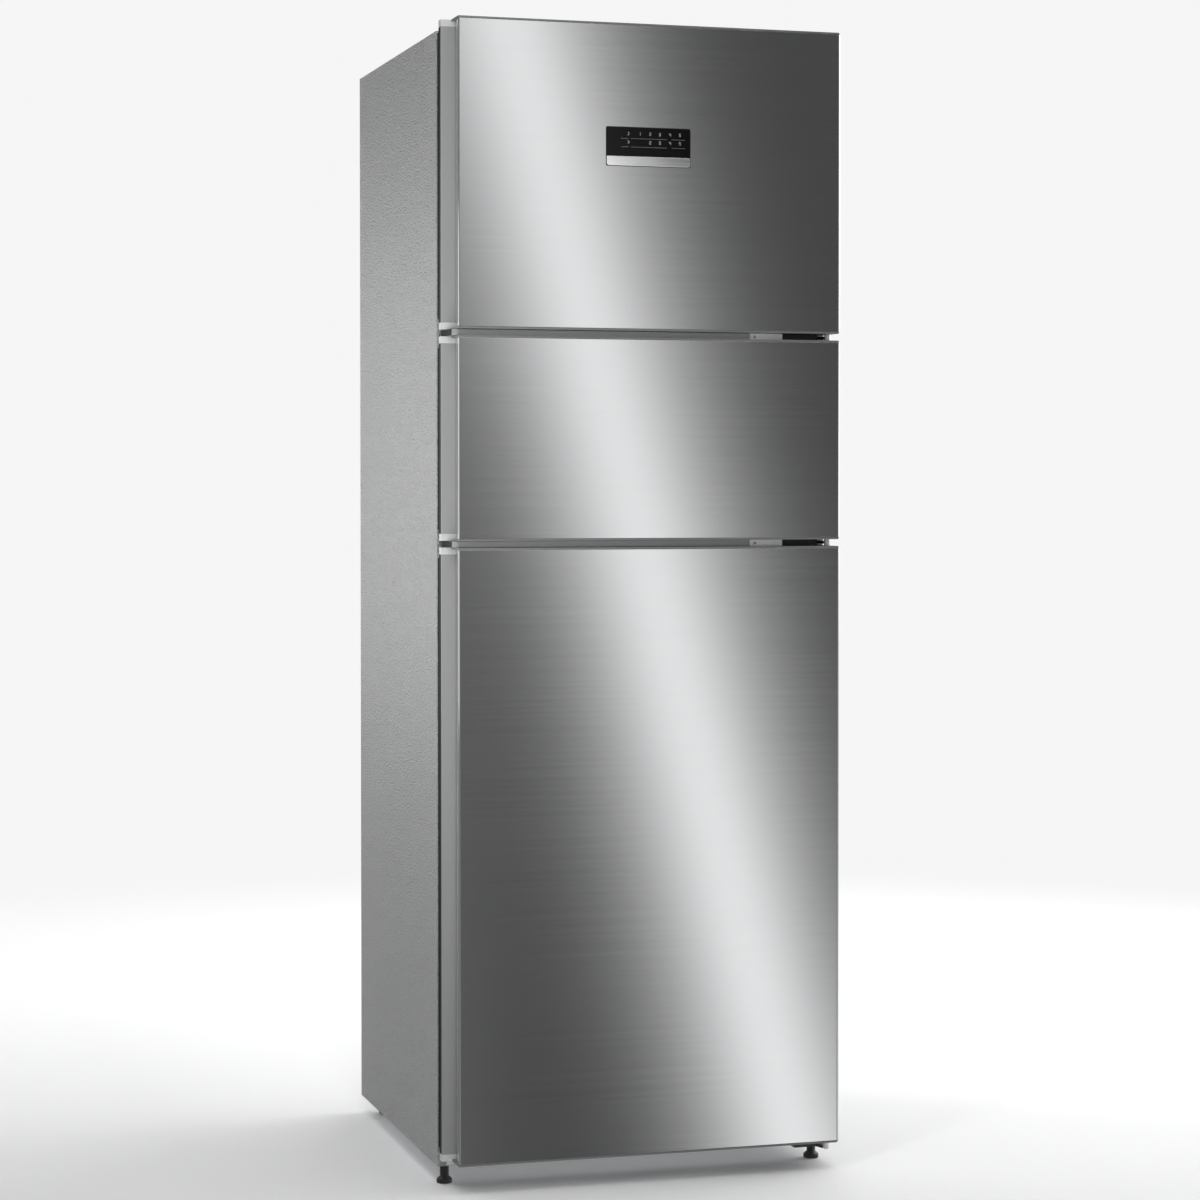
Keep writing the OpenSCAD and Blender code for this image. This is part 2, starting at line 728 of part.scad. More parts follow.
// Formed rear cover with two rows of air slots
module machine_cover() {
  t = 1.2;
  z0 = floor_gap + 4;
  z1 = machine_top + 14;
  bx = half_w - glide_in;
  slot_w = 5;
  slot_pitch = 15;
  slots = floor((2 * bx - 50) / slot_pitch);
  color(black) difference() {
    union() {
      block([-half_w + 6, cab_y1, z0], [half_w - 6, cab_y1 + t, z1]);
      block([-bx, cab_y1, z0 + 12], [bx, cab_y1 + cover_bulge, z1 - 26]);
    }
    block([-bx + t, cab_y1 - 1, z0 + 12 + t], [bx - t, cab_y1 + cover_bulge - t, z1 - 26 - t]);
    for (i = [0:slots - 1], z = [z0 + 30, (z0 + z1) / 2 + 2])
      block([-(slots - 1) * slot_pitch / 2 + i * slot_pitch - slot_w / 2, cab_y1, z],
            [-(slots - 1) * slot_pitch / 2 + i * slot_pitch + slot_w / 2, cab_y1 + cover_bulge + 1,
             z + (z1 - z0) / 2 - 38]);
    translate([gland_x, cab_y1 - 1, gland_z]) rotate([-90, 0, 0]) cylinder(r = gland_r + 3.5, h = t + 2);
  }
}

// Rubber gland that lines the hole for the mains lead
module cord_gland() {
  lip = 2;
  t = 1.2;
  color("dimgray") translate([gland_x, cab_y1, gland_z]) rotate([-90, 0, 0]) rotate_extrude() polygon([
    [gland_r, -lip], [gland_r + 6, -lip], [gland_r + 6, -0.1], [gland_r + 3.3, -0.1],
    [gland_r + 3.3, t + 0.1], [gland_r + 6, t + 0.1], [gland_r + 4, t + lip + 2],
    [gland_r, t + lip + 2]]);
}

// Freezer compartment
fan_z = freezer_in[1] - fan_r - 44;
fan_y0 = evap_y0 + 5;
fan_t = 16;
motor_y0 = fan_y0 + fan_t + 3;
shaft_r = 2.5;
cover_t = 3;
shelf_t = 8;

// Finned coil: tubes run through a stack of thin fins
module evaporator() {
  fins = 28;
  fin_t = 1;
  coil_w = 2 * in_w - 90;
  coil_h = freezer_shelf_z - freezer_in[0];
  row_h = coil_h / 5;
  z0 = freezer_in[0] + 14;
  y0 = evap_y0 + cover_t + 3;
  y1 = rear_in - 3;
  pitch = coil_w / (fins - 1);
  color("silver") {
    for (i = [0:fins - 1])
      block([-coil_w / 2 + i * pitch - fin_t / 2, y0, z0], [-coil_w / 2 + i * pitch + fin_t / 2, y1, z0 + coil_h]);
    for (row = [0:4], y = [y0 + 12, y1 - 12])
      translate([-coil_w / 2 - 12, y, z0 + (row + 0.5) * row_h]) rotate([0, 90, 0])
        cylinder(r = 4, h = coil_w + 24, $fn = 24);
    for (s = [-1, 1]) block([s * (coil_w / 2 + 12) - 3, y0 + 2, z0 + 4],
      [s * (coil_w / 2 + 12) + 3, rear_in, z0 + coil_h - 4]);
  }
}

// Cover over the coil with the fan's intake and outlet slots, and the fan's motor behind it
module evaporator_cover() {
  slot_w = 8;
  color(liner_white) difference() {
    block([-in_w + 1, evap_y0, freezer_in[0]], [in_w - 1, evap_y0 + cover_t, freezer_in[1] - 1]);
    for (i = [-3:3]) {
      dz = i * (slot_w + 5);
      w = sqrt(max(fan_r * fan_r - dz * dz, 1)) - 2;
      block([-w, evap_y0 - 1, fan_z + dz - slot_w / 2], [w, evap_y0 + cover_t + 1, fan_z + dz + slot_w / 2]);
    }
    for (i = [-7:7]) block([i * 28 - 9, evap_y0 - 1, freezer_in[0] + 22],
      [i * 28 + 9, evap_y0 + cover_t + 1, freezer_in[0] + 32]);
  }
  color(liner_white) for (x = [-in_w + 6, in_w - 12])
    block([x, evap_y0 + cover_t, freezer_in[0] + 40], [x + 6, rear_in, freezer_in[1] - 40]);
  color("dimgray") translate([0, 0, fan_z]) rotate([-90, 0, 0]) {
    translate([0, 0, motor_y0]) cylinder(r = 19, h = rear_in - motor_y0);
    translate([0, 0, fan_y0]) cylinder(r = shaft_r, h = motor_y0 - fan_y0 + 1);
  }
}

module evaporator_fan() {
  blades = 7;
  color("whitesmoke") translate([0, fan_y0, fan_z]) rotate([-90, 0, 0]) difference() {
    union() {
      cylinder(r = 15, h = fan_t);
      intersection() {
        cylinder(r = fan_r - 2, h = fan_t);
        for (i = [0:blades - 1]) rotate(i * 360 / blades) translate([0, 0, fan_t / 2]) rotate([38, 0, 0])
          translate([12, -11, -0.9]) cube([fan_r, 22, 1.8]);
      }
    }
    translate([0, 0, -1]) cylinder(r = shaft_r + pin_clear, h = fan_t + 2);
  }
}

// Moulded freezer shelf with a raised front rail and air slots
module freezer_shelf() {
  w = in_w - 1.5;
  z = freezer_shelf_z;
  y1 = evap_y0 - 4;
  color(liner_white) difference() {
    union() {
      block([-w, shelf_y0 + 2, z], [w, y1, z + shelf_t - 3]);
      along_x(-w, w) round_rect([shelf_y0 + 2, z], [shelf_y0 + 20, z + shelf_t + 4], 3);
    }
    for (i = [0:9], y = [shelf_y0 + 40, shelf_y0 + 165])
      block([60 + i * 18, y, z - 1], [68 + i * 18, y + 100, z + shelf_t + 1]);
    block([ice_x - ice_w - 1, shelf_y0, z + shelf_t - 3], [ice_x + ice_w + 1, shelf_y0 + 21, z + shelf_t + 5]);
  }
}

// Twist ice maker: frame, tray and bin, standing on the freezer shelf's left half
ice_x = -in_w + ice_w + 14;
ice_y0 = shelf_y0 + 26;
ice_y1 = ice_y0 + ice_len;
ice_z0 = freezer_shelf_z + shelf_t - 3;
ice_top = freezer_in[1] - ice_clear;
ice_wall = 3;
tray_half = ice_w - 24;
tray_h = 30;
tray_z = ice_top - tray_half - 8;
ice_bin_h = tray_z - tray_half - 9 - ice_z0;
tray_pin_r = 4;

module ice_frame() {
  top = ice_top;
  color(liner_white) difference() {
    union() {
      difference() {
        block([ice_x - ice_w, ice_y0, ice_z0], [ice_x + ice_w, ice_y1, top]);
        block([ice_x - ice_w + ice_wall, ice_y0 - 1, ice_z0 - 1],
              [ice_x + ice_w - ice_wall, ice_y1 - ice_wall, top - ice_wall]);
      }
      block([ice_x - 16, ice_y0, tray_z - 14], [ice_x + 16, ice_y0 + ice_wall, top - ice_wall + EPS]);
    }
    translate([ice_x, ice_y0 - 1, tray_z]) rotate([-90, 0, 0])
      cylinder(r = tray_pin_r + pin_clear, h = ice_y1 - ice_y0 + 2);
  }
}

// Tray with two rows of cells, pins at its ends and a knob in front
module ice_tray() {
  cells = 6;
  y0 = ice_y0 + ice_wall + 1;
  y1 = ice_y1 - ice_wall - 1;
  pitch = (y1 - y0 - 4) / cells;
  color("lightcyan") {
    difference() {
      block([ice_x - tray_half + 4, y0, tray_z - tray_h / 2], [ice_x + tray_half - 4, y1, tray_z + tray_h / 2]);
      for (i = [0:cells - 1], x = [-tray_half + 7, 1.5])
        block([ice_x + x, y0 + 3 + i * pitch, tray_z - tray_h / 2 + 3],
              [ice_x + x + tray_half - 8.5, y0 + 1 + (i + 1) * pitch, tray_z + 3]);
      block([ice_x - tray_half + 7, y0 + 3, tray_z + 1], [ice_x + tray_half - 7, y1 - 3, tray_z + tray_h / 2 + 1]);
    }
    translate([ice_x, ice_y0 - 6, tray_z]) rotate([-90, 0, 0]) cylinder(r = tray_pin_r, h = 12);
    translate([ice_x, ice_y1 - ice_wall - 3, tray_z]) rotate([-90, 0, 0]) cylinder(r = tray_pin_r, h = 5.5);
    translate([ice_x, ice_y0 - 0.8, tray_z]) rotate([90, 0, 0]) cylinder(r = 17, h = 5);
    block([ice_x - 4, ice_y0 - 16, tray_z - 16], [ice_x + 4, ice_y0 - 5, tray_z + 16]);
  }
}

module ice_bin() {
  w = ice_w - ice_wall - 2;
  pull_z = ice_z0 + ice_bin_h - 2 * pull_h;
  color(clear_blue) {
    tub([ice_x - w, ice_y0 - 4, ice_z0 + rest_clear], [ice_x + w, ice_y1 - 8, ice_z0 + ice_bin_h], rack_wall, 8);
    along_x(ice_x - pull_w / 2, ice_x + pull_w / 2)
      polygon([[ice_y0 - 4 + EPS, pull_z - pull_h], [ice_y0 - 13, pull_z - pull_h * 0.4],
               [ice_y0 - 13, pull_z], [ice_y0 - 4 + EPS, pull_z]]);
  }
}

// Fridge compartment
module shelf_glass() {
  color([0.80, 0.92, 0.90]) for (z = shelf_zs)
    block([-in_w + 1, shelf_y0 + 4, z + rest_clear], [in_w - 1, shelf_y1 - 4, z + rest_clear + glass_t]);
}

// Front and rear edge trims that grip each glass
module shelf_trims() {
  gap = 0.3;
  color("whitesmoke") for (z = shelf_zs) difference() {
    union() {
      along_x(-in_w + ledge_w + 1, in_w - ledge_w - 1) union() {
        translate([0, z]) round_rect([shelf_y0, -8], [shelf_y0 + 18, glass_t + 6], 3);
        translate([0, z]) round_rect([shelf_y1 - 14, -3], [shelf_y1, glass_t + 8], 2);
      }
    }
    block([-half_w, shelf_y0 + 4 - gap, z + rest_clear - gap], [half_w, shelf_y1 - 4 + gap, z + rest_clear + glass_t + gap]);
    if (z == shelf_z0) block([slide_x0 - 1, shelf_y0 - 1, z - 5], [slide_x0 + slide_travel + slide_w + 1, shelf_y0 + 3, z - 1]);
  }
}

// Humidity slider in the groove of the lowest front trim
slide_w = 22;
slide_travel = 40;
slide_x0 = -slide_travel / 2 - slide_w / 2;

module humidity_slider() {
  z = shelf_z0 - 3;
  color("steelblue") {
    block([slide_x0, shelf_y0 - 5, z - 1.7], [slide_x0 + slide_w, shelf_y0 + 2.7, z + 1.7]);
    block([slide_x0 + 4, shelf_y0 - 8, z - 3.5], [slide_x0 + slide_w - 4, shelf_y0 - 1, z + 3.5]);
  }
}

// Drawer with a leaning front, a pull lip and thin walls
module drawer(x, y0, y1, z0, z1) {
  lean = 8;
  w = rack_wall;
  difference() {
    along_x(-x, x) polygon([[y0 + lean, z0], [y1 - 4, z0], [y1, z1 - 10], [y1, z1], [y0, z1]]);
    along_x(-x + w, x - w) polygon([[y0 + lean + w, z0 + w], [y1 - 4 - w, z0 + w], [y1 - w, z1 - 10],
      [y1 - w, z1 + 1], [y0 + w, z1 + 1]]);
  }
  along_x(-x * 0.45, x * 0.45) polygon([[y0 + 1, z1 - 14], [y0 - 12, z1 - 8], [y0 - 12, z1 - 4],
    [y0 + 1, z1 - 4]]);
}

module crisper_drawer() {
  color(clear_blue) drawer(in_w - 3, cab_y0 + crisper_set, hump_y - 6, fridge_in[0] + rest_clear,
    fridge_in[0] + crisper_h);
}

module chill_drawer() {
  color(clear_blue) drawer(in_w - 3, cab_y0 + chill_set, rear_in - 8, chill_in[0] + rest_clear,
    chill_in[1] - 34);
}

// Air duct up the fridge's rear wall, with outlet slots and a lamp window
module air_duct() {
  y0 = rear_in - duct_t;
  color(liner_white) difference() {
    translate([0, 0, hump_z]) linear_extrude(fridge_in[1] - hump_z - 1)
      polygon(concat([[-duct_w / 2, rear_in]], arc([-duct_w / 2 + 10, y0 + 10], 10, 180, 270, 5),
        arc([duct_w / 2 - 10, y0 + 10], 10, 270, 360, 5), [[duct_w / 2, rear_in]]));
    for (z = shelf_zs, s = [-1, 1]) block([s * 34 - 16, y0 - 1, z + 60], [s * 34 + 16, y0 + 12, z + 68]);
  }
}

// Doors
liner_sheet = liner_t;
grip_R = cove_r + grip_wall;
cove_c = [panel_x0 + cove_in, cove_v];
rim_x = [-in_w + rim_clear + rim_swing, in_w - rim_clear];
rim_gap = 12;

// Plan polygons have x as on the appliance and y measured back from the door's front
module skin_plan() {
  polygon(concat([[panel_x0, skin_return], [panel_x0, 0]], arc([panel_x1 - edge_r, edge_r], edge_r, -90, 0, 6),
    [[panel_x1, door_t], [panel_x1 - skin_t, door_t]],
    arc([panel_x1 - edge_r, edge_r], edge_r - skin_t, 0, -90, 6),
    [[panel_x0 + skin_t, skin_t], [panel_x0 + skin_t, skin_return]]));
}

// Finger channel and ledge in one extrusion
module grip_plan() {
  polygon(concat([[panel_x0, cove_v - grip_R], [panel_x0, cove_v - cove_r]], arc(cove_c, cove_r, -90, 90, 14),
    [[-half_w, ledge_v], [-half_w, ledge_v + grip_wall]], arc(cove_c, grip_R, 90, -90, 14)));
}

module foam_plan() {
  polygon(concat([[panel_x0 + skin_t, skin_t]], arc([panel_x1 - edge_r, edge_r], edge_r - skin_t, -90, 0, 6),
    [[panel_x1 - skin_t, door_t - liner_sheet], [-half_w + grip_wall, door_t - liner_sheet],
     [-half_w + grip_wall, ledge_v + grip_wall]],
    arc(cove_c, grip_R, 90, -90, 14), [[panel_x0 + skin_t, cove_v - grip_R]]));
}

// End cap where it shows past the steel: it closes the finger channel's end
module cap_lip_plan() {
  polygon(concat([[panel_x0, 0]], arc([panel_x1 - edge_r, edge_r], edge_r, -90, 0, 6),
    [[panel_x1, door_t], [-half_w, door_t], [-half_w, ledge_v], [panel_x0, ledge_v]]));
}

// End cap inside the steel: it follows the finger channel
module cap_body_plan() {
  polygon(concat([[panel_x0 + skin_t, skin_t]], arc([panel_x1 - edge_r, edge_r], edge_r - skin_t, -90, 0, 6),
    [[panel_x1 - skin_t, door_t], [-half_w, door_t], [-half_w, ledge_v]], arc(cove_c, cove_r, 90, -90, 14),
    [[panel_x0, cove_v - cove_r], [panel_x0, skin_return], [panel_x0 + skin_t, skin_return]]));
}

// A plan carried up from z0 to z1 behind the door's front plane
module door_part(z0, z1) {
  translate([0, front_y, z0]) linear_extrude(z1 - z0) children();
}

// Pocket over the freezer door's hinge corner that lets the top hinge reach its pin
module hinge_pocket(g) {
  block([hinge_x0 - 6 - g, front_y + pocket_lip - g, pocket_floor - g],
        [half_w + 1, door_back_y + 1, doors_top + 1]);
}

module door_skin(z, h, pocket) {
  color(steel) difference() {
    door_part(z + cap_lip + lip_groove, z + h - cap_lip - lip_groove) skin_plan();
    if (pocket) hinge_pocket(0);
  }
}

module door_grip(z, h) {
  color(cap_grey) door_part(z + cap_h, z + h - cap_h) grip_plan();
}

// Wedge that takes off a hinge-side corner of a door at height z
module corner_wedge(z) {
  c = corner_cut;
  translate([half_w, door_back_y + 1, z]) rotate([90, 0, 0]) linear_extrude(door_t + 2)
    polygon([[-c, 0], [0, -c], [c, 0], [0, c]]);
}

// Upper and lower end caps with their hinge bushes
module door_caps(z, h, pocket) {
  bush_h = pin_grip + 4;
  bush_top = pocket ? pocket_floor : z + h;
  color(cap_grey) difference() {
    union() {
      door_part(z, z + cap_lip) cap_lip_plan();
      door_part(z + cap_lip, z + cap_h) cap_body_plan();
      door_part(z + h - cap_h, z + h - cap_lip) cap_body_plan();
      door_part(z + h - cap_lip, z + h) cap_lip_plan();
      translate([pin_x, pin_y, z]) cylinder(r = bush_r, h = bush_h);
      translate([pin_x, pin_y, bush_top - bush_h]) cylinder(r = bush_r, h = bush_h);
      if (pocket) intersection() {
        hinge_pocket(2);
        door_part(pocket_floor - 2, z + h) cap_body_plan();
      }
    }
    corner_wedge(z);
    corner_wedge(z + h);
    translate([pin_x, pin_y, z - 1]) cylinder(r = pin_r + pin_clear, h = pin_grip + 2);
    translate([pin_x, pin_y, bush_top - pin_grip - 1]) cylinder(r = pin_r + pin_clear, h = pin_grip + 2);
    if (pocket) hinge_pocket(0);
  }
}

module door_foam(z, h, pocket) {
  bush_h = pin_grip + 4;
  color(foam_tan) difference() {
    door_part(z + cap_h, z + h - cap_h) foam_plan();
    for (bz = [z, (pocket ? pocket_floor : z + h) - bush_h])
      translate([pin_x, pin_y, bz]) cylinder(r = bush_r, h = bush_h);
    if (pocket) hinge_pocket(2);
    if (pocket) display_hole(disp_t);
  }
}

// Formed inner liner: a flat sheet with a raised rim that reaches into the compartment
module door_liner(z, h, inside, pocket) {
  z0 = inside[0] + rim_gap;
  z1 = inside[1] - rim_gap;
  back = door_back_y + rim_h;
  taper = 3;
  color(liner_white) {
    difference() {
      block([-half_w + grip_wall, door_back_y - liner_sheet, z + cap_h],
            [panel_x1 - skin_t, door_back_y, z + h - cap_h]);
      if (pocket) hinge_pocket(2);
    }
    difference() {
      translate([0, door_back_y, 0]) rotate([-90, 0, 0]) mirror([0, 1, 0]) linear_extrude(rim_h)
        round_rect([rim_x[0], z0], [rim_x[1], z1], 14);
      translate([0, door_back_y - 1, 0]) rotate([-90, 0, 0]) mirror([0, 1, 0]) linear_extrude(rim_h + 2)
        round_rect([rim_x[0] + rim_w, z0 + rim_w], [rim_x[1] - rim_w, z1 - rim_w], 8);
    }
  }
}

// Magnetic seal: foot in the liner, bellows, magnet tube against the cabinet, and a skirt over
// the door's edge on the grip side
module door_seal(z, h) {
  y1 = cab_y0 - rest_clear;
  lo = [-half_w + seal_edge, z + seal_inset];
  hi = [half_w - seal_inset, z + h - seal_inset];
  mid = 3;
  color([0.25, 0.25, 0.26]) {
    seal_ring(lo, hi, door_back_y, door_back_y + mid, 0);
    seal_ring(lo, hi, door_back_y + mid, (door_back_y + y1) / 2, 2.5);
    seal_ring(lo, hi, (door_back_y + y1) / 2, y1 - 4, 1.2);
    seal_ring(lo, hi, y1 - 4, y1, 0);
    block([-half_w + 0.6, front_y + ledge_v + grip_wall, z + cap_h],
          [-half_w + grip_wall, door_back_y + mid, z + h - cap_h]);
  }
}

// Rectangular ring between two depths, drawn in by d on both sides
module seal_ring(lo, hi, y0, y1, d) {
  difference() {
    block([lo[0] + d, y0, lo[1] + d], [hi[0] - d, y1, hi[1] - d]);
    block([lo[0] + seal_w - d, y0 - 1, lo[1] + seal_w - d], [hi[0] - seal_w + d, y1 + 1, hi[1] - seal_w + d]);
  }
}

// Clear rack between the rim's sides: base at z, d deep, front wall hf and rear wall hb high
module rack(z, d, hf, hb) {
  x0 = rim_x[0] + rim_w + rest_clear;
  x1 = rim_x[1] - rim_w - rest_clear;
  y0 = door_back_y + rest_clear;
  w = rack_wall;
  lean = 6;
  color(clear_blue) difference() {
    along_x(x0, x1) polygon(concat([[y0, z]], arc([y0 + d - lean - 12, z + 12], 12, -90, -10, 5),
      [[y0 + d, z + hf], [y0 + d - 4, z + hf + 3], [y0 + d * 0.55, z + hf + 6], [y0, z + hb]]));
    along_x(x0 + w, x1 - w) polygon(concat([[y0 + w, z + w]],
      arc([y0 + d - lean - 12, z + 12], 12 - w, -90, -10, 5),
      [[y0 + d - w, z + hf], [y0 + d - w, z + hb + 20], [y0 + w, z + hb + 20]]));
  }
}

// Display: black glass over a bright strip, set into the freezer door
disp_z = freezer_z + disp_up;
disp_top = disp_z + strip_h + disp_h;

module display_hole(depth) {
  block([-disp_w / 2 + 1, front_y - 1, disp_z + 1],
        [disp_w / 2 - 1, front_y - disp_proud + depth + rest_clear, disp_top - 1]);
}

// The display between heights z0 and z1: rounded front and a body inside the door
module display_plate(z0, z1) {
  d = 3;
  intersection() {
    translate([0, front_y, 0]) rotate([90, 0, 0]) linear_extrude(disp_proud)
      round_rect([-disp_w / 2, disp_z], [disp_w / 2, disp_top], disp_r);
    block([-disp_w, front_y - disp_t, z0], [disp_w, front_y + 1, z1]);
  }
  block([-disp_w / 2 + d, front_y - EPS, z0 + d], [disp_w / 2 - d, front_y - disp_proud + disp_t, z1 - d]);
}

module display_glass() {
  color(black) display_plate(disp_z + strip_h, disp_top);
}

module display_strip() {
  color("silver") display_plate(disp_z, disp_z + strip_h);
}

module freezer_door_skin() {
  difference() {
    door_skin(freezer_z, freezer_door_h, true);
    display_hole(disp_t);
  }
}

module freezer_door_grip() {
  door_grip(freezer_z, freezer_door_h);
}

module freezer_door_caps() {
  door_caps(freezer_z, freezer_door_h, true);
}

module freezer_door_foam() {
  door_foam(freezer_z, freezer_door_h, true);
}

module freezer_door_liner() {
  door_liner(freezer_z, freezer_door_h, freezer_in, true);
}

module freezer_door_seal() {
  door_seal(freezer_z, freezer_door_h);
}

module freezer_door_racks() {
  for (i = [0:1]) rack(freezer_in[0] + 50 + i * ice_rack_rise, ice_rack_d, ice_rack_h / 2 + 5, ice_rack_h);
}

module chill_door_skin() {
  door_skin(chill_z, chill_door_h, false);
}

module chill_door_grip() {
  door_grip(chill_z, chill_door_h);
}

module chill_door_caps() {
  door_caps(chill_z, chill_door_h, false);
}

module chill_door_foam() {
  door_foam(chill_z, chill_door_h, false);
}

module chill_door_liner() {
  door_liner(chill_z, chill_door_h, chill_in, false);
}

module chill_door_seal() {
  door_seal(chill_z, chill_door_h);
}

module fridge_door_skin() {
  door_skin(fridge_z, fridge_door_h, false);
}

module fridge_door_grip() {
  door_grip(fridge_z, fridge_door_h);
}

module fridge_door_caps() {
  door_caps(fridge_z, fridge_door_h, false);
}

module fridge_door_foam() {
  door_foam(fridge_z, fridge_door_h, false);
}

module fridge_door_liner() {
  door_liner(fridge_z, fridge_door_h, fridge_in, false);
}

module fridge_door_seal() {
  door_seal(fridge_z, fridge_door_h);
}

module fridge_door_racks() {
  rack(shelf_z0 + 20, rack_d, rack_h, rack_h + 40);
  rack(shelf_z0 + 20 + rack_rise, rack_d, rack_h * 2 / 3, rack_h);
  rack(shelf_z0 + 20 + 2 * rack_rise - 30, rack_d, rack_h * 2 / 3, rack_h);
}

outer_wrap();
rear_panel();
cabinet_foam();
freezer_liner();
chill_liner();
fridge_liner();
base_frame();
compressor_deck();
gap_bars();
gap_bar_covers();
top_hinge();
top_hinge_cover();
middle_hinges();
bottom_hinge();
hinge_hardware();
compressor();
compressor_mounts();
drain_pan();
machine_cover();
refrigerant_pipes();
cord_gland();
evaporator();
evaporator_cover();
evaporator_fan();
air_duct();
freezer_shelf();
ice_frame();
ice_tray();
ice_bin();
shelf_glass();
shelf_trims();
crisper_drawer();
humidity_slider();
chill_drawer();
freezer_door_skin();
freezer_door_grip();
freezer_door_caps();
freezer_door_foam();
freezer_door_liner();
freezer_door_seal();
freezer_door_racks();
display_glass();
display_strip();
chill_door_skin();
chill_door_grip();
chill_door_caps();
chill_door_foam();
chill_door_liner();
chill_door_seal();
fridge_door_skin();
fridge_door_grip();
fridge_door_caps();
fridge_door_foam();
fridge_door_liner();
fridge_door_seal();
fridge_door_racks();
front_foot_left();
front_foot_right();
rear_roller_left();
rear_roller_right();
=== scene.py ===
"""Looks of a free-standing refrigerator with three doors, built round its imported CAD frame."""
import json
import math

import bmesh
import bpy
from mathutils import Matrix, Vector

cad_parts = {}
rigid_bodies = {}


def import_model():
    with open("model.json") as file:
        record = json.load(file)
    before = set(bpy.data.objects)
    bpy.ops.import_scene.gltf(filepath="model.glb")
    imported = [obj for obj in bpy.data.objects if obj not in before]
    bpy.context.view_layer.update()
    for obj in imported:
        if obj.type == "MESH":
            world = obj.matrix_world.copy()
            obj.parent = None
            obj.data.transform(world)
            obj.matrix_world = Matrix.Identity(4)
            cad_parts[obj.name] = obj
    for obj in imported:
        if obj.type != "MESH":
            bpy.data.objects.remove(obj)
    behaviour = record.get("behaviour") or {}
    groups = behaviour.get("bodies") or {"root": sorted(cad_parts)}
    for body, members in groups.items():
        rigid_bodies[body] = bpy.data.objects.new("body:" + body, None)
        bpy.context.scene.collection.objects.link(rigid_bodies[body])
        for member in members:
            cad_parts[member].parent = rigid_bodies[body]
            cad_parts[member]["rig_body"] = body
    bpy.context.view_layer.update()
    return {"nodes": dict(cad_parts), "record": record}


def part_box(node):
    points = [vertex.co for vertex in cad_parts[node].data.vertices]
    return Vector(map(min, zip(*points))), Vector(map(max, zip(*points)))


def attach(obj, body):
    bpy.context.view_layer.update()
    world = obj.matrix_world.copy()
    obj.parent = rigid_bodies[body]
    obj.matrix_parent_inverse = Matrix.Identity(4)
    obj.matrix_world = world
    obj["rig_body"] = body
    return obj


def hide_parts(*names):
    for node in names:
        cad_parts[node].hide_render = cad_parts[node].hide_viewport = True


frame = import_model()

MM = 0.001

# Camera fitted to the photograph's edges; a small lens shift keeps the uprights near parallel
CAMERA_AT = (-1.3144, -4.4830, 1.0315)
CAMERA_YAW = math.radians(16.550)
CAMERA_TILT = math.radians(-1.248)
CAMERA_LENS = 89.10
CAMERA_SENSOR = 36
CAMERA_SHIFT_Y = -0.0417
CAMERA_REACH = 60

NODES = frame["nodes"]
SLOT_OF = {s["node"]: s["material_slot"] for s in frame["record"]["subparts"]}
BODY_OF = {n: o["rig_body"] for n, o in NODES.items()}
DOORS = ("freezer", "chill", "fridge")


# Camera, floor and light
def add_camera():
    data = bpy.data.cameras.new("camera")
    data.lens = CAMERA_LENS
    data.sensor_width = CAMERA_SENSOR
    data.shift_y = CAMERA_SHIFT_Y
    data.clip_end = CAMERA_REACH
    cam = bpy.data.objects.new("camera", data)
    cam.location = CAMERA_AT
    cam.rotation_euler = (math.pi / 2 + CAMERA_TILT, 0, -CAMERA_YAW)
    bpy.context.scene.collection.objects.link(cam)
    bpy.context.scene.camera = cam


def plane(name, corners):
    """A one-face mesh through four corners."""
    mesh = bpy.data.meshes.new(name)
    mesh.from_pydata(corners, [], [(0, 1, 2, 3)])
    obj = bpy.data.objects.new(name, mesh)
    bpy.context.scene.collection.objects.link(obj)
    return obj


def area_lamp(name, at, towards, size, watts):
    """A rectangular lamp that lights its own side only and is not seen by the camera."""
    data = bpy.data.lights.new(name, "AREA")
    data.shape = "RECTANGLE"
    data.size, data.size_y = size
    data.energy = watts
    lamp = bpy.data.objects.new(name, data)
    lamp.location = at
    lamp.rotation_euler = (Vector(towards) - Vector(at)).to_track_quat("-Z", "Y").to_euler()
    lamp.visible_camera = False
    bpy.context.scene.collection.objects.link(lamp)
    return lamp


# What the camera, metal and glass see round the part, as a strength where 1 is white
SURROUND = 0.92
# What lights the part from all around, as a strength
AMBIENT = 0.24
AMBIENT_COLOUR = (0.99, 1.0, 1.01, 1)
# Distances from the origin between which the floor turns into the surround
FLOOR_FADE = (1.3, 3.4)
FLOOR_COLOUR = (0.86, 0.86, 0.86)
FLOOR_ROUGH = 0.7
FLOOR_HALF_WIDTH = 9.0
FLOOR_FRONT = -9.0
BACKDROP_AT = 5.0
BACKDROP_TOP = 8.0
COVE_RADIUS = 1.5
COVE_STEPS = 12


def seen_directly(nt, glossy):
    """1 for the rays that show the surroundings and 0 for those that only carry light."""
    path = nt.nodes.new("ShaderNodeLightPath")
    rays = maths(nt, "MAXIMUM", path.outputs["Is Camera Ray"], path.outputs["Is Transmission Ray"])
    if glossy:
        rays = maths(nt, "MAXIMUM", rays, path.outputs["Is Glossy Ray"])
    return rays


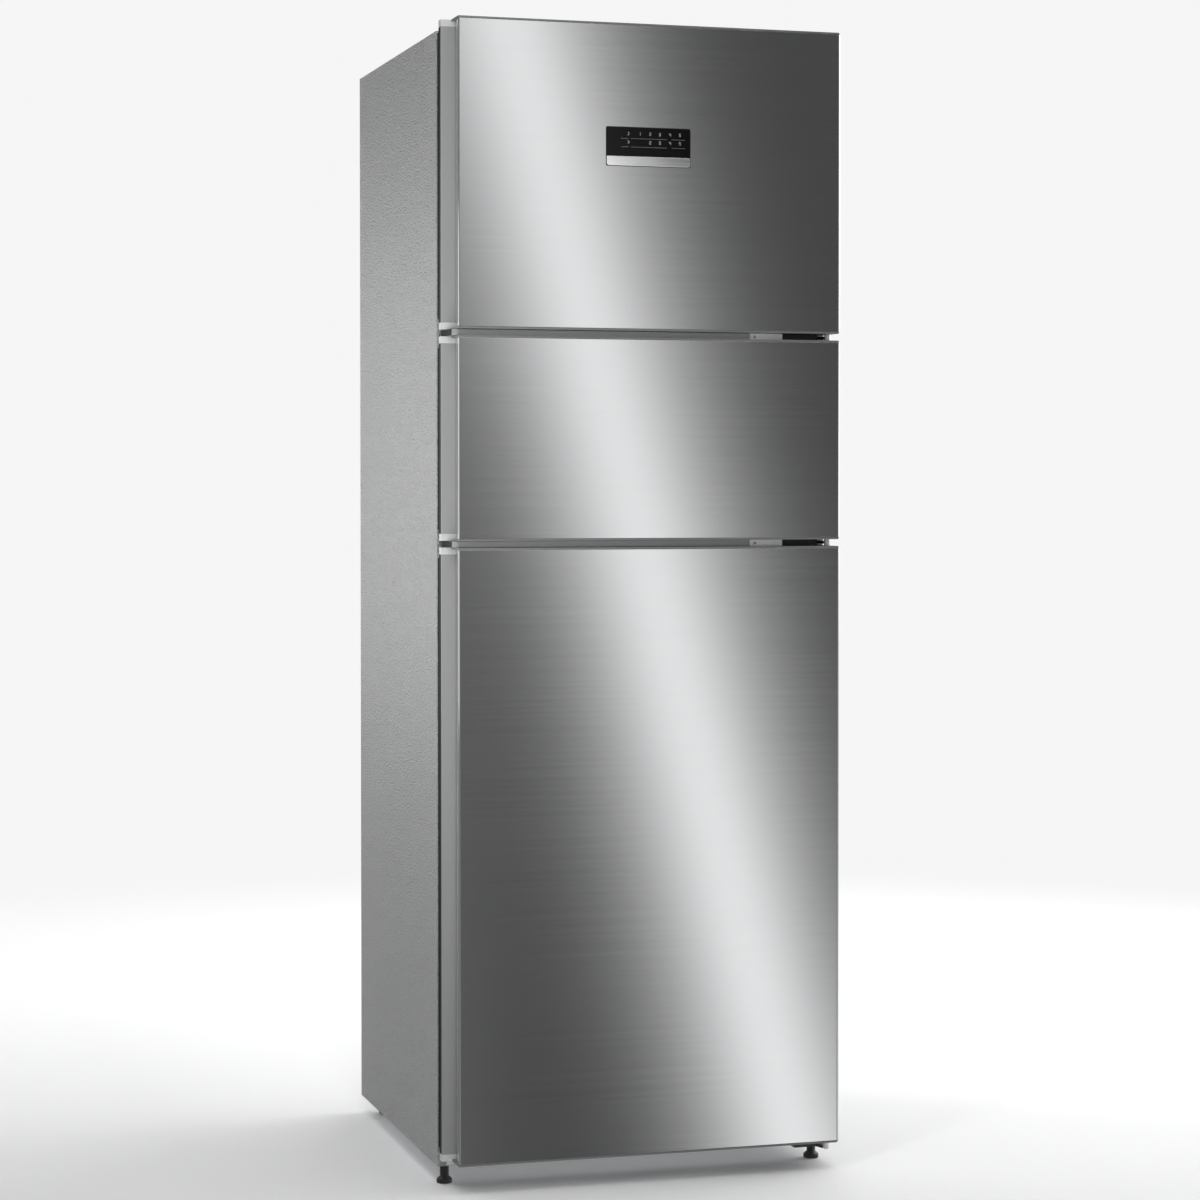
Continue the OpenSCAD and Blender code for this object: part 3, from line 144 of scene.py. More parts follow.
def fade_floor(nt, bsdf):
    """Far from the part the floor and the backdrop turn into the even surround."""
    place = nt.nodes.new("ShaderNodeTexCoord")
    away = nt.nodes.new("ShaderNodeVectorMath")
    away.operation = "LENGTH"
    nt.links.new(place.outputs["Object"], away.inputs[0])
    ramp = nt.nodes.new("ShaderNodeMapRange")
    ramp.interpolation_type = "SMOOTHSTEP"
    ramp.inputs["From Min"].default_value = FLOOR_FADE[0]
    ramp.inputs["From Max"].default_value = FLOOR_FADE[1]
    nt.links.new(away.outputs["Value"], ramp.inputs["Value"])
    glow = nt.nodes.new("ShaderNodeEmission")
    glow.inputs["Strength"].default_value = SURROUND
    mix = nt.nodes.new("ShaderNodeMixShader")
    share = maths(nt, "MULTIPLY", ramp.outputs["Result"], seen_directly(nt, False))
    nt.links.new(share, mix.inputs[0])
    nt.links.new(bsdf.outputs[0], mix.inputs[1])
    nt.links.new(glow.outputs[0], mix.inputs[2])
    nt.links.new(mix.outputs[0], nt.nodes["Material Output"].inputs["Surface"])


def add_floor():
    """Pale floor that curves up into a backdrop."""
    start = BACKDROP_AT - COVE_RADIUS
    profile = [(FLOOR_FRONT, 0.0)]
    for i in range(COVE_STEPS + 1):
        a = math.pi / 2 * i / COVE_STEPS
        profile.append((start + COVE_RADIUS * math.sin(a), COVE_RADIUS * (1 - math.cos(a))))
    profile.append((BACKDROP_AT, BACKDROP_TOP))
    verts = [(x, y, z) for y, z in profile for x in (-FLOOR_HALF_WIDTH, FLOOR_HALF_WIDTH)]
    faces = [(2 * i, 2 * i + 1, 2 * i + 3, 2 * i + 2) for i in range(len(profile) - 1)]
    mesh = bpy.data.meshes.new("floor")
    mesh.from_pydata(verts, [], faces)
    for p in mesh.polygons:
        p.use_smooth = True
    floor = bpy.data.objects.new("floor", mesh)
    bpy.context.scene.collection.objects.link(floor)
    mat, nt, bsdf = new_material("floor", FLOOR_COLOUR, FLOOR_ROUGH)
    fade_floor(nt, bsdf)
    floor.data.materials.append(mat)
    floor.visible_glossy = False


# The steel doors mirror this board: dark, with soft bright bands that lean to the right as they
# go down. A band fades out on both sides by an exponential of the distance across. From the
# photograph's place the doors mirror the first band, and the board rises a little on its left.
CARD_Y = -2.4
CARD_X = (-2.2, 3.6)
CARD_Z = (-2.6, 4.2)
# The grey boards reach back to here and to the right as far as this
GREY_BACK = 4.8
GREY_RIGHT = -0.2
BAND_AT = 0.888
BAND_LEAN = -0.267
BAND_FALL = 12.5
BAND_POWER = 1.40
BAND_PEAK = 1.52
CARD_DARK = 0.080
# Bands that the doors mirror from other places, as (at, fall, peak)
OTHER_BANDS = ((-0.80, 5.6, 0.8), (2.60, 5.6, 0.8))
LEFT_RISE = 0.065
LEFT_FALL = 10
LEFT_AT = 0.24
# The corners of a board in turn, as (which end, which height)
BOARD_CORNERS = ((0, 0), (1, 0), (1, 1), (0, 1))


def band(nt, split, at, fall, peak, level):
    """Adds one band of light to a level."""
    middle = maths(nt, "MULTIPLY_ADD", split.outputs["Z"], BAND_LEAN, at)
    across = maths(nt, "ABSOLUTE", maths(nt, "SUBTRACT", split.outputs["X"], middle))
    drop = maths(nt, "MULTIPLY", maths(nt, "POWER", across, BAND_POWER), -fall)
    return maths(nt, "MULTIPLY_ADD", maths(nt, "EXPONENT", drop), peak, level)


def only_mirrored(card, mat):
    """Keeps a board out of everything but reflections."""
    card.data.materials.append(mat)
    card.visible_camera = False
    card.visible_diffuse = False
    card.visible_shadow = False
    card.visible_transmission = False


def add_grey_cards():
    """The plain grey that the embossed side mirrors, on the left and behind."""
    mat, _, bsdf = new_material("grey_card", (0, 0, 0), 1.0)
    bsdf.inputs["Emission Color"].default_value = (1, 1, 1, 1)
    bsdf.inputs["Emission Strength"].default_value = AMBIENT
    bsdf.inputs["Specular IOR Level"].default_value = 0
    left = CARD_X[0]
    for name, ends in (("side_card", ((left, CARD_Y), (left, GREY_BACK))),
                       ("back_card", ((left, GREY_BACK), (GREY_RIGHT, GREY_BACK)))):
        corners = [(*ends[i], CARD_Z[k]) for i, k in BOARD_CORNERS]
        only_mirrored(plane(name, corners), mat)


def add_reflection_card():
    corners = [(CARD_X[i], CARD_Y, CARD_Z[k]) for i, k in BOARD_CORNERS]
    mat = bpy.data.materials.new("reflection_card")
    mat.use_nodes = True
    nt = mat.node_tree
    nt.nodes.clear()
    out = nt.nodes.new("ShaderNodeOutputMaterial")
    glow = nt.nodes.new("ShaderNodeEmission")
    place = nt.nodes.new("ShaderNodeTexCoord")
    split = nt.nodes.new("ShaderNodeSeparateXYZ")
    nt.links.new(place.outputs["Object"], split.inputs[0])
    level = band(nt, split, BAND_AT, BAND_FALL, BAND_PEAK, CARD_DARK)
    for at, fall, peak in OTHER_BANDS:
        level = band(nt, split, at, fall, peak, level)
    inward = maths(nt, "MAXIMUM", maths(nt, "SUBTRACT", split.outputs["X"], LEFT_AT), 0)
    rise = maths(nt, "EXPONENT", maths(nt, "MULTIPLY", inward, -LEFT_FALL))
    level = maths(nt, "MULTIPLY_ADD", rise, LEFT_RISE, level)
    nt.links.new(level, glow.inputs["Strength"])
    nt.links.new(glow.outputs[0], out.inputs["Surface"])
    only_mirrored(plane("reflection_card", corners), mat)


# Lamps as name, place, point that they face, size and watts
LAMPS = (
    ("side", (-0.62, 0.20, 1.06), (-0.3, 0.20, 1.06), (1.4, 0.8), 3.4),
    ("near_front", (-0.43, -0.88, 1.16), (-0.34, -0.3, 1.16), (0.12, 1.7), 4.9),
    ("far_front", (-0.9, -3.4, 0.7), (-0.1, -0.3, 1.0), (1.2, 1.2), 6),
    ("overhead", (0.6, -0.2, 4.2), (0, 0.2, 0), (2.6, 2.4), 62),
    ("right", (3.4, 0.6, 1.8), (0.3, 0.2, 0.9), (1.8, 2.0), 60),
    ("back", (1.6, 3.6, 2.2), (0, 0.3, 0.9), (1.6, 1.6), 26),
    ("backdrop_left", (-3.2, 2.4, 3.2), (-1.5, 5.0, 1.0), (2.0, 2.0), 90),
    ("backdrop_right", (3.2, 2.4, 3.2), (1.8, 5.0, 1.0), (2.0, 2.0), 90),
)
UNMIRRORED_LAMPS = ("near_front", "far_front", "back")


def add_world():
    world = bpy.data.worlds.new("world")
    world.use_nodes = True
    nt = world.node_tree
    background = nt.nodes["Background"]
    background.inputs["Color"].default_value = AMBIENT_COLOUR
    level = maths(nt, "MULTIPLY_ADD", seen_directly(nt, True), SURROUND - AMBIENT, AMBIENT)
    nt.links.new(level, background.inputs["Strength"])
    bpy.context.scene.world = world


def add_light():
    add_world()
    for lamp in LAMPS:
        area_lamp(*lamp).visible_glossy = lamp[0] not in UNMIRRORED_LAMPS
    bpy.context.scene.view_settings.view_transform = "Standard"


# Node helpers
def new_material(name, colour, rough, metallic=0.0):
    mat = bpy.data.materials.new(name)
    mat.use_nodes = True
    nt = mat.node_tree
    bsdf = nt.nodes["Principled BSDF"]
    bsdf.inputs["Base Color"].default_value = (*colour[:3], 1)
    bsdf.inputs["Roughness"].default_value = rough
    bsdf.inputs["Metallic"].default_value = metallic
    return mat, nt, bsdf


def maths(nt, op, a, b=None, c=None):
    node = nt.nodes.new("ShaderNodeMath")
    node.operation = op
    for i, v in enumerate((a, b, c)):
        if v is None:
            continue
        if isinstance(v, (int, float)):
            node.inputs[i].default_value = v
        else:
            nt.links.new(v, node.inputs[i])
    return node.outputs[0]


def noise(nt, scale, stretch=(1, 1, 1), detail=2.0):
    """Noise in the object's own coordinates; scale is in cycles per metre."""
    place = nt.nodes.new("ShaderNodeTexCoord")
    mapping = nt.nodes.new("ShaderNodeMapping")
    mapping.inputs["Scale"].default_value = stretch
    tex = nt.nodes.new("ShaderNodeTexNoise")
    tex.inputs["Scale"].default_value = scale
    tex.inputs["Detail"].default_value = detail
    nt.links.new(place.outputs["Object"], mapping.inputs["Vector"])
    nt.links.new(mapping.outputs["Vector"], tex.inputs["Vector"])
    return tex.outputs["Fac"]


# Noise seldom leaves this range
NOISE_RANGE = (0.3, 0.7)


def spread(nt, fac, low, high):
    """Maps the usual range of noise to low to high."""
    node = nt.nodes.new("ShaderNodeMapRange")
    node.inputs["From Min"].default_value = NOISE_RANGE[0]
    node.inputs["From Max"].default_value = NOISE_RANGE[1]
    node.inputs["To Min"].default_value = low
    node.inputs["To Max"].default_value = high
    nt.links.new(fac, node.inputs["Value"])
    return node.outputs["Result"]


def tint(nt, bsdf, fac, colour, amount):
    """Lets a value lighten and darken the base colour by a share."""
    mix = nt.nodes.new("ShaderNodeMix")
    mix.data_type = "RGBA"
    mix.inputs["A"].default_value = (*[c * (1 - amount) for c in colour[:3]], 1)
    mix.inputs["B"].default_value = (*[min(1, c * (1 + amount)) for c in colour[:3]], 1)
    nt.links.new(fac, mix.inputs["Factor"])
    nt.links.new(mix.outputs["Result"], bsdf.inputs["Base Color"])


def bump(nt, bsdf, height, depth, strength=1.0):
    node = nt.nodes.new("ShaderNodeBump")
    node.inputs["Distance"].default_value = depth
    node.inputs["Strength"].default_value = strength
    nt.links.new(height, node.inputs["Height"])
    nt.links.new(node.outputs["Normal"], bsdf.inputs["Normal"])


# Materials, one function for each kind of finish. Grains are in cycles per metre and depths of
# relief in metres.
HAIR_GRAIN = 1700
STREAK_GRAIN = 240
HAIR_STRETCH = (0.004, 0.004, 1.0)
STREAK_STRETCH = (0.006, 0.006, 1.0)
HAIR_DEPTH = 0.000004


def brushed_steel(name, colour, rough, aniso):
    """Metal brushed along X, so that it spreads what it mirrors up and down."""
    mat, nt, bsdf = new_material(name, colour, rough, 1.0)
    bsdf.inputs["Anisotropic"].default_value = aniso
    hairs = noise(nt, HAIR_GRAIN, HAIR_STRETCH)
    streaks = noise(nt, STREAK_GRAIN, STREAK_STRETCH)
    both = maths(nt, "MULTIPLY_ADD", hairs, 0.5, maths(nt, "MULTIPLY", streaks, 0.5))
    nt.links.new(spread(nt, both, rough - 0.015, rough + 0.015), bsdf.inputs["Roughness"])
    tint(nt, bsdf, both, colour, amount=0.05)
    bump(nt, bsdf, hairs, HAIR_DEPTH, strength=0.25)
    axis = nt.nodes.new("ShaderNodeCombineXYZ")
    axis.inputs[2].default_value = 1
    turn = nt.nodes.new("ShaderNodeVectorTransform")
    turn.vector_type = "VECTOR"
    turn.convert_from = "OBJECT"
    turn.convert_to = "WORLD"
    nt.links.new(axis.outputs[0], turn.inputs[0])
    nt.links.new(turn.outputs[0], bsdf.inputs["Tangent"])
    return mat


WRINKLE_GRAIN = 330
WRINKLE_LENGTHEN = 0.5
WRINKLE_RISE = 0.16
PEBBLE_GRAIN = 420
EMBOSS_DEPTH = 0.0092


def embossed_paint(name, colour):
    """Grey paint over sheet embossed with slightly rising wrinkles and pebbles between them, with
    painted shade in the dips of the wrinkles.
    """
    mat, nt, bsdf = new_material(name, colour, 0.40)
    place = nt.nodes.new("ShaderNodeTexCoord")
    split = nt.nodes.new("ShaderNodeSeparateXYZ")
    nt.links.new(place.outputs["Object"], split.inputs[0])
    across = nt.nodes.new("ShaderNodeCombineXYZ")
    nt.links.new(split.outputs["X"], across.inputs[0])
    nt.links.new(maths(nt, "MULTIPLY", split.outputs["Y"], WRINKLE_LENGTHEN), across.inputs[1])
    risen = maths(nt, "MULTIPLY_ADD", split.outputs["Y"], WRINKLE_RISE, split.outputs["Z"])
    nt.links.new(risen, across.inputs[2])
    wrinkles = nt.nodes.new("ShaderNodeTexNoise")
    wrinkles.inputs["Scale"].default_value = WRINKLE_GRAIN
    wrinkles.inputs["Detail"].default_value = 1.0
    nt.links.new(across.outputs[0], wrinkles.inputs["Vector"])
    pebbles = noise(nt, PEBBLE_GRAIN, (1, 0.6, 1), 1.0)
    relief = maths(nt, "MULTIPLY_ADD", pebbles, 0.4, wrinkles.outputs["Fac"])
    # Painted shade and light: the wrinkles tint the paint darker in the dips of the relief and
    # lighter on its rises
    tint(nt, bsdf, wrinkles.outputs["Fac"], colour, amount=0.08)
    bump(nt, bsdf, relief, EMBOSS_DEPTH)
    bsdf.inputs["Coat Weight"].default_value = 0.2
    bsdf.inputs["Coat Roughness"].default_value = 0.3
    return mat


PLASTIC_CLOUDS = 14
PLASTIC_DEPTH = 0.00003


def plastic(name, colour, rough, grain=1800):
    """Moulded plastic or paint; a grain of 0 leaves it smooth."""
    mat, nt, bsdf = new_material(name, colour, rough)
    broad = noise(nt, PLASTIC_CLOUDS)
    nt.links.new(spread(nt, broad, rough - 0.01, rough + 0.01), bsdf.inputs["Roughness"])
    tint(nt, bsdf, broad, colour, amount=0.012)
    if grain:
        bump(nt, bsdf, noise(nt, grain, detail=3.0), PLASTIC_DEPTH, strength=0.4)
    return mat


METAL_GRAIN = 900
METAL_DEPTH = 0.00002


def metal(name, colour, rough, stretch=(1, 1, 1), metallic=1.0):
    """Bare or plated metal, with lines where the grain is stretched."""
    mat, nt, bsdf = new_material(name, colour, rough, metallic)
    lines = noise(nt, METAL_GRAIN, stretch, 3.0)
    nt.links.new(spread(nt, lines, rough - 0.05, rough + 0.07), bsdf.inputs["Roughness"])
    tint(nt, bsdf, lines, colour, amount=0.06)
    bump(nt, bsdf, lines, METAL_DEPTH, strength=0.3)
    return mat


HAZE_GRAIN = 30


def clear(name, colour, rough):
    """Glass or clear plastic with a little haze."""
    mat, nt, bsdf = new_material(name, colour, rough)
    bsdf.inputs["Transmission Weight"].default_value = 0.92
    bsdf.inputs["IOR"].default_value = 1.45
    haze = noise(nt, HAZE_GRAIN)
    nt.links.new(spread(nt, haze, rough, rough + 0.04), bsdf.inputs["Roughness"])
    return mat


PORE_GRAIN = 700
PORE_DEPTH = 0.0004


def foam(name, colour):
    """Dull open-pored stuff."""
    mat, nt, bsdf = new_material(name, colour, 0.9)
    pores = noise(nt, PORE_GRAIN, detail=4.0)
    tint(nt, bsdf, pores, colour, amount=0.12)
    bump(nt, bsdf, pores, PORE_DEPTH, strength=0.6)
    return mat


SMEAR_GRAIN = 22


def black_glass(name, colour):
    """Dark glass with faint smears and a weak shine."""
    mat, nt, bsdf = new_material(name, colour, 0.07)
    nt.links.new(spread(nt, noise(nt, SMEAR_GRAIN), 0.05, 0.12), bsdf.inputs["Roughness"])
    bsdf.inputs["Specular IOR Level"].default_value = 0.2
    return mat


def make_materials():
    """Materials by slot; lip, cover, painted_lit_cap, black_shade_fill and the marks are the
    scene's own. The end caps' one plastic is split into lip and painted_lit_cap, painted shade and
    painted light, and black_shade_fill paints the shade at the ends of the gaps.
    """
    return {
        "steel": brushed_steel("steel", (0.60, 0.605, 0.61), 0.16, 0.8),
        "rail": plastic("rail", (0.33, 0.3325, 0.335), 0.32),
        # Painted shade: the end caps' plastic made darker at their lips
        "lip": plastic("lip", (0.18, 0.1815, 0.183), 0.36),
        "cover": plastic("cover", (0.84, 0.845, 0.85), 0.36),
        "bright_strip": metal("bright_strip", (0.96, 0.965, 0.97), 0.10, (0.02, 1, 1)),
        "side_sheet": embossed_paint("side_sheet", (0.445, 0.448, 0.451)),
        "rear_sheet": plastic("rear_sheet", (0.42, 0.43, 0.44), 0.45),
        "grey_plastic": plastic("grey_plastic", (0.315, 0.318, 0.321), 0.38),
        # Painted light: the end caps' plastic made lighter where they close the finger channel
        "painted_lit_cap": plastic("painted_lit_cap", (0.60, 0.604, 0.608), 0.38),
        # Painted shade: near-black stuff for the blocks at the dark ends of the gaps between the
        # doors
        "black_shade_fill": foam("black_shade_fill", (0.02, 0.02, 0.021)),
        "foam": foam("foam", (0.80, 0.72, 0.48)),
        "liner": plastic("liner", (0.86, 0.87, 0.88), 0.30, 0),
        "white_plastic": plastic("white_plastic", (0.84, 0.85, 0.86), 0.32, 0),
        "frame_steel": metal("frame_steel", (0.50, 0.51, 0.52), 0.42),
        "hinge": plastic("hinge", (0.02, 0.02, 0.022), 0.35),
        "screw": metal("screw", (0.80, 0.80, 0.80), 0.35, metallic=0.35),
        "compressor": plastic("compressor", (0.015, 0.015, 0.016), 0.30),
        "rubber": plastic("rubber", (0.035, 0.035, 0.036), 0.75),
        "seal": plastic("seal", (0.012, 0.012, 0.013), 0.8),
        "black_plastic": plastic("black_plastic", (0.022, 0.022, 0.023), 0.5),
        "copper": metal("copper", (0.72, 0.38, 0.24), 0.28),
        "coil": metal("coil", (0.78, 0.79, 0.80), 0.30),
        "clear_plastic": clear("clear_plastic", (0.96, 0.98, 0.99), 0.06),
        "shelf_glass": clear("shelf_glass", (0.89, 0.965, 0.945), 0.02),
        "ice_plastic": plastic("ice_plastic", (0.62, 0.76, 0.82), 0.35),
        "slider": plastic("slider", (0.10, 0.22, 0.42), 0.3),
        "black_glass": black_glass("black_glass", (0.004, 0.004, 0.0045)),
        "mark": plastic("mark", (0.50, 0.505, 0.51), 0.5),
        "faint_mark": plastic("faint_mark", (0.22, 0.225, 0.23), 0.5),
    }


# Pieces
def finish_piece(obj, slot, body, replaces=None):
    """Material and body of a new piece, and hiding of the CAD node that it stands for."""
    obj.data.materials.clear()
    obj.data.materials.append(MATERIALS[slot])
    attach(obj, body)
    if replaces:
        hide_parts(replaces)
    return obj


# Outer radius of the steel sheet where it turns back at the sides of a door
BEND_RADIUS = 2.0 * MM
BEND_SEGMENTS = 5
# Places that differ by less than this count as the same
NEAR = 0.2 * MM
# A bend is longer than this
LONG_EDGE = 50 * MM
# Vertices closer than this are one, and faces that turn by less than this angle are flat
SAME_POINT = 0.002 * MM
FLAT_DEGREES = 0.5
# Small edges are rounded where the faces turn by more than this
ROUND_SEGMENTS = 2
ROUND_ABOVE_DEGREES = 30
# Shading is sharp where the faces turn by more than this, on dressed copies and on plain nodes
SHARP_DEGREES = 40
SHARP_NODE_DEGREES = 30


def weigh_bends(bm):
    """Marks the upright edges at the two front corners of a door's skin for a wider rounding."""
    weight = bm.edges.layers.float.new("bevel_weight_edge")
    xs = [v.co.x for v in bm.verts]
    front = min(v.co.y for v in bm.verts)
    for edge in bm.edges:
        a, b = (v.co for v in edge.verts)
        at_side = min(abs(a.x - min(xs)), abs(a.x - max(xs))) < NEAR
        upright = abs(a.z - b.z) > LONG_EDGE and abs(a.x - b.x) + abs(a.y - b.y) < NEAR / 2
        edge[weight] = 1.0 if at_side and upright and a.y - front < NEAR else 0.0


def add_bevel(obj, width, segments, limit):
    mod = obj.modifiers.new("bevel", "BEVEL")
    mod.width = width
    mod.segments = segments
    mod.limit_method = limit
    return mod


def softened(node, width, bend=0):
    """A copy of a CAD node with small rounded edges, which stands for the node."""
    source = NODES[node]
    mesh = source.data.copy()
    bm = bmesh.new()
    bm.from_mesh(mesh)
    bmesh.ops.remove_doubles(bm, verts=bm.verts, dist=SAME_POINT)
    flat = math.radians(FLAT_DEGREES)
    bmesh.ops.dissolve_limit(bm, angle_limit=flat, verts=bm.verts, edges=bm.edges)
    if bend:
        weigh_bends(bm)
    bm.to_mesh(mesh)
    bm.free()
    piece = bpy.data.objects.new(node + "_dressed", mesh)
    bpy.context.scene.collection.objects.link(piece)
    if bend:
        add_bevel(piece, bend, BEND_SEGMENTS, "WEIGHT")
        bake(piece)
    mod = add_bevel(piece, width, ROUND_SEGMENTS, "ANGLE")
    mod.angle_limit = math.radians(ROUND_ABOVE_DEGREES)
    mod.use_clamp_overlap = True
    bake(piece)
    smooth(piece, SHARP_DEGREES)
    even_normals(piece)
    return finish_piece(piece, SLOT_OF[node], BODY_OF[node], node)


def bake(obj):
    """Applies an object's modifiers to its mesh."""
    graph = bpy.context.evaluated_depsgraph_get()
    mesh = bpy.data.meshes.new_from_object(obj.evaluated_get(graph))
    obj.modifiers.clear()
    obj.data = mesh


def smooth(obj, degrees):
    for p in obj.data.polygons:
        p.use_smooth = True
    obj.data.set_sharp_from_angle(angle=math.radians(degrees))


def even_normals(obj):
    """Keeps broad faces flat in shading where small rounded edges meet them."""
    mod = obj.modifiers.new("normals", "WEIGHTED_NORMAL")
    mod.mode = "FACE_AREA"
    mod.weight = 100
    mod.keep_sharp = True
    bake(obj)


BOX_FACES = ((0, 2, 3, 1), (4, 5, 7, 6), (0, 1, 5, 4), (2, 6, 7, 3), (0, 4, 6, 2), (1, 3, 7, 5))


def boxes_mesh(name, boxes):
    """One mesh from boxes given as (low corner, high corner)."""
    verts, faces = [], []
    for lo, hi in boxes:
        n = len(verts)
        verts += [(x, y, z) for z in (lo[2], hi[2]) for y in (lo[1], hi[1]) for x in (lo[0], hi[0])]
        faces += [tuple(n + i for i in face) for face in BOX_FACES]
    mesh = bpy.data.meshes.new(name)
    mesh.from_pydata(verts, [], faces)
    obj = bpy.data.objects.new(name, mesh)
    bpy.context.scene.collection.objects.link(obj)
    return obj


# Width in millimetres of the rounding on a node's edges
ROUNDING = {
    "gap_bars": 0.5, "gap_bar_covers": 0.8, "middle_hinges": 0.4, "bottom_hinge": 0.4,
    "top_hinge_cover": 0.8, "display_strip": 0.25, "display_glass": 0.3,
    "front_foot_left": 0.8, "front_foot_right": 0.8, "outer_wrap": 0.35,
    "crisper_drawer": 0.6, "chill_drawer": 0.6, "shelf_trims": 0.6, "freezer_shelf": 0.6,
    "ice_tray": 0.6, "ice_bin": 0.6, "freezer_door_racks": 0.6, "fridge_door_racks": 0.6,
}
DOOR_ROUNDING = {"_door_caps": 0.5, "_door_grip": 0.2, "_door_liner": 2.0}
SKIN_ROUNDING = 0.25


def dress_nodes():
    """Gives every CAD node its material, smooths round ones and rounds the edges that show."""
    for node, obj in NODES.items():
        obj.data.materials.clear()
        obj.data.materials.append(MATERIALS[SLOT_OF[node]])
        smooth(obj, SHARP_NODE_DEGREES)
    for node, width in ROUNDING.items():
        softened(node, width * MM)
    for door in DOORS:
        for part, width in DOOR_ROUNDING.items():
            softened(door + part, width * MM)
    for door in DOORS:
        softened(door + "_door_skin", SKIN_ROUNDING * MM, bend=BEND_RADIUS)


def paint_cap_light_and_shade():
    """Paints the end caps lighter where they close the finger channel, as painted light from the
    side, and darker at their lips, as painted shade; the caps are one plastic.
    """
    for door in DOORS:
        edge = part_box(door + "_door_skin")[0][0]
        caps = bpy.data.objects[door + "_door_caps_dressed"]
        caps.data.materials.clear()
        for slot in ("lip", "painted_lit_cap"):
            caps.data.materials.append(MATERIALS[slot])
        for face in caps.data.polygons:
            # Faces left of the steel's edge get the painted light, the others the painted shade
            face.material_index = 1 if face.center.x < edge else 0
    covers = bpy.data.objects["gap_bar_covers_dressed"]
    covers.data.materials[0] = MATERIALS["cover"]


# The black block in the left end of a rail, which paints the shade there, in millimetres: how far
# it goes in, how far it stands back from the rail's front, and the room that it leaves to the end
# caps above and below
STEM_IN, STEM_BACK, STEM_ROOM = 12, 2, 2.2
PAD_THICK, PAD_BACK, PAD_ROOM = 0.8, 0.4, 0.4
STEM_OUT = 0.1
PAD_OFF = 0.05


def add_gap_shade_blocks():
    """Black blocks in the open left end of each rail, with a pad that covers the end, as painted
    shade in the gaps between the doors.
    """
    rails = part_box("gap_bars")
    end, front = rails[0][0], rails[0][1]
    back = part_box("outer_wrap")[0][1]

    def between(x0, x1, set_back, room):
        return ((end + x0 * MM, front + set_back * MM, low + room * MM),
                (end + x1 * MM, back, high - room * MM))

    for name, doors in (("upper", ("chill", "freezer")), ("lower", ("fridge", "chill"))):
        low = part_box(doors[0] + "_door_caps")[1][2]
        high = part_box(doors[1] + "_door_caps")[0][2]
        stem = between(-STEM_OUT, STEM_IN, STEM_BACK, STEM_ROOM)
        pad = between(-PAD_THICK, -PAD_OFF, PAD_BACK, PAD_ROOM)
        finish_piece(boxes_mesh("gap_shade_block_" + name, [stem, pad]), "black_shade_fill", BODY_OF["gap_bars"])


# Black sheet round the display that paints its shadow line, in millimetres: how far it shows past
# the display, how far its front and its back stand off the steel, and the radius of its corners
SHADOW_LINE_MARGIN = 0.9
SHADOW_LINE_FRONT = 0.15
SHADOW_LINE_BACK = 0.01
SHADOW_LINE_CORNER = 2.5
CORNER_SEGMENTS = 5


def weigh_corners(mesh):
    """Marks the edges that run from front to back for rounding."""
    bm = bmesh.new()
    bm.from_mesh(mesh)
    weight = bm.edges.layers.float.new("bevel_weight_edge")
    for edge in bm.edges:
        a, b = (v.co for v in edge.verts)
        edge[weight] = 1.0 if abs(a.x - b.x) + abs(a.z - b.z) < NEAR / 2 else 0.0
    bm.to_mesh(mesh)
    bm.free()


def add_display_shadow_line():
    """Thin black sheet that paints the shadow round the display as a line."""
    glass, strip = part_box("display_glass"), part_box("display_strip")
    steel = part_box("freezer_door_skin")[0][1]
    margin = SHADOW_LINE_MARGIN * MM
    low = (glass[0][0] - margin, steel - SHADOW_LINE_FRONT * MM, strip[0][2] - margin)
    high = (glass[1][0] + margin, steel - SHADOW_LINE_BACK * MM, glass[1][2] + margin)
    shadow_line = boxes_mesh("display_shadow_line", [(low, high)])
    weigh_corners(shadow_line.data)
    add_bevel(shadow_line, SHADOW_LINE_CORNER * MM, CORNER_SEGMENTS, "WEIGHT")
    bake(shadow_line)
    # The seals' black paints the shadow line
    finish_piece(shadow_line, "seal", BODY_OF["display_glass"])


# Marks on the display: places are millimetres from its left edge and below its top edge
DISPLAY_ROWS = ((9.2, "12345"), (21.6, " 2345"))
MARK_COLUMNS = (50.4, 66.7, 81.5, 97.4, 112.5)
CHEVRON_AT = 33.7
LINE_DROP = 7.0
LINE_STRETCHES = ((22.0, 33.0), (37.0, 92.0), (100.0, 120.0))
MARK_SIZE = (2.2, 4.0)
MARK_STROKE = 0.6
CHEVRON_STROKE = 0.72
LINE_STROKE = 0.45
MARK_THICK = 0.05
# Marks start this far in front of the glass
MARK_LIFT = 0.02
# The seven bars of a digit as (column, row) ends on a grid of one by two
BARS = {"a": (0, 2, 1, 2), "b": (1, 1, 1, 2), "c": (1, 0, 1, 1), "d": (0, 0, 1, 0),
        "e": (0, 0, 0, 1), "f": (0, 1, 0, 2), "g": (0, 1, 1, 1)}
DIGITS = {"1": "bc", "2": "abged", "3": "abgcd", "4": "fgbc", "5": "afgcd", " ": ""}


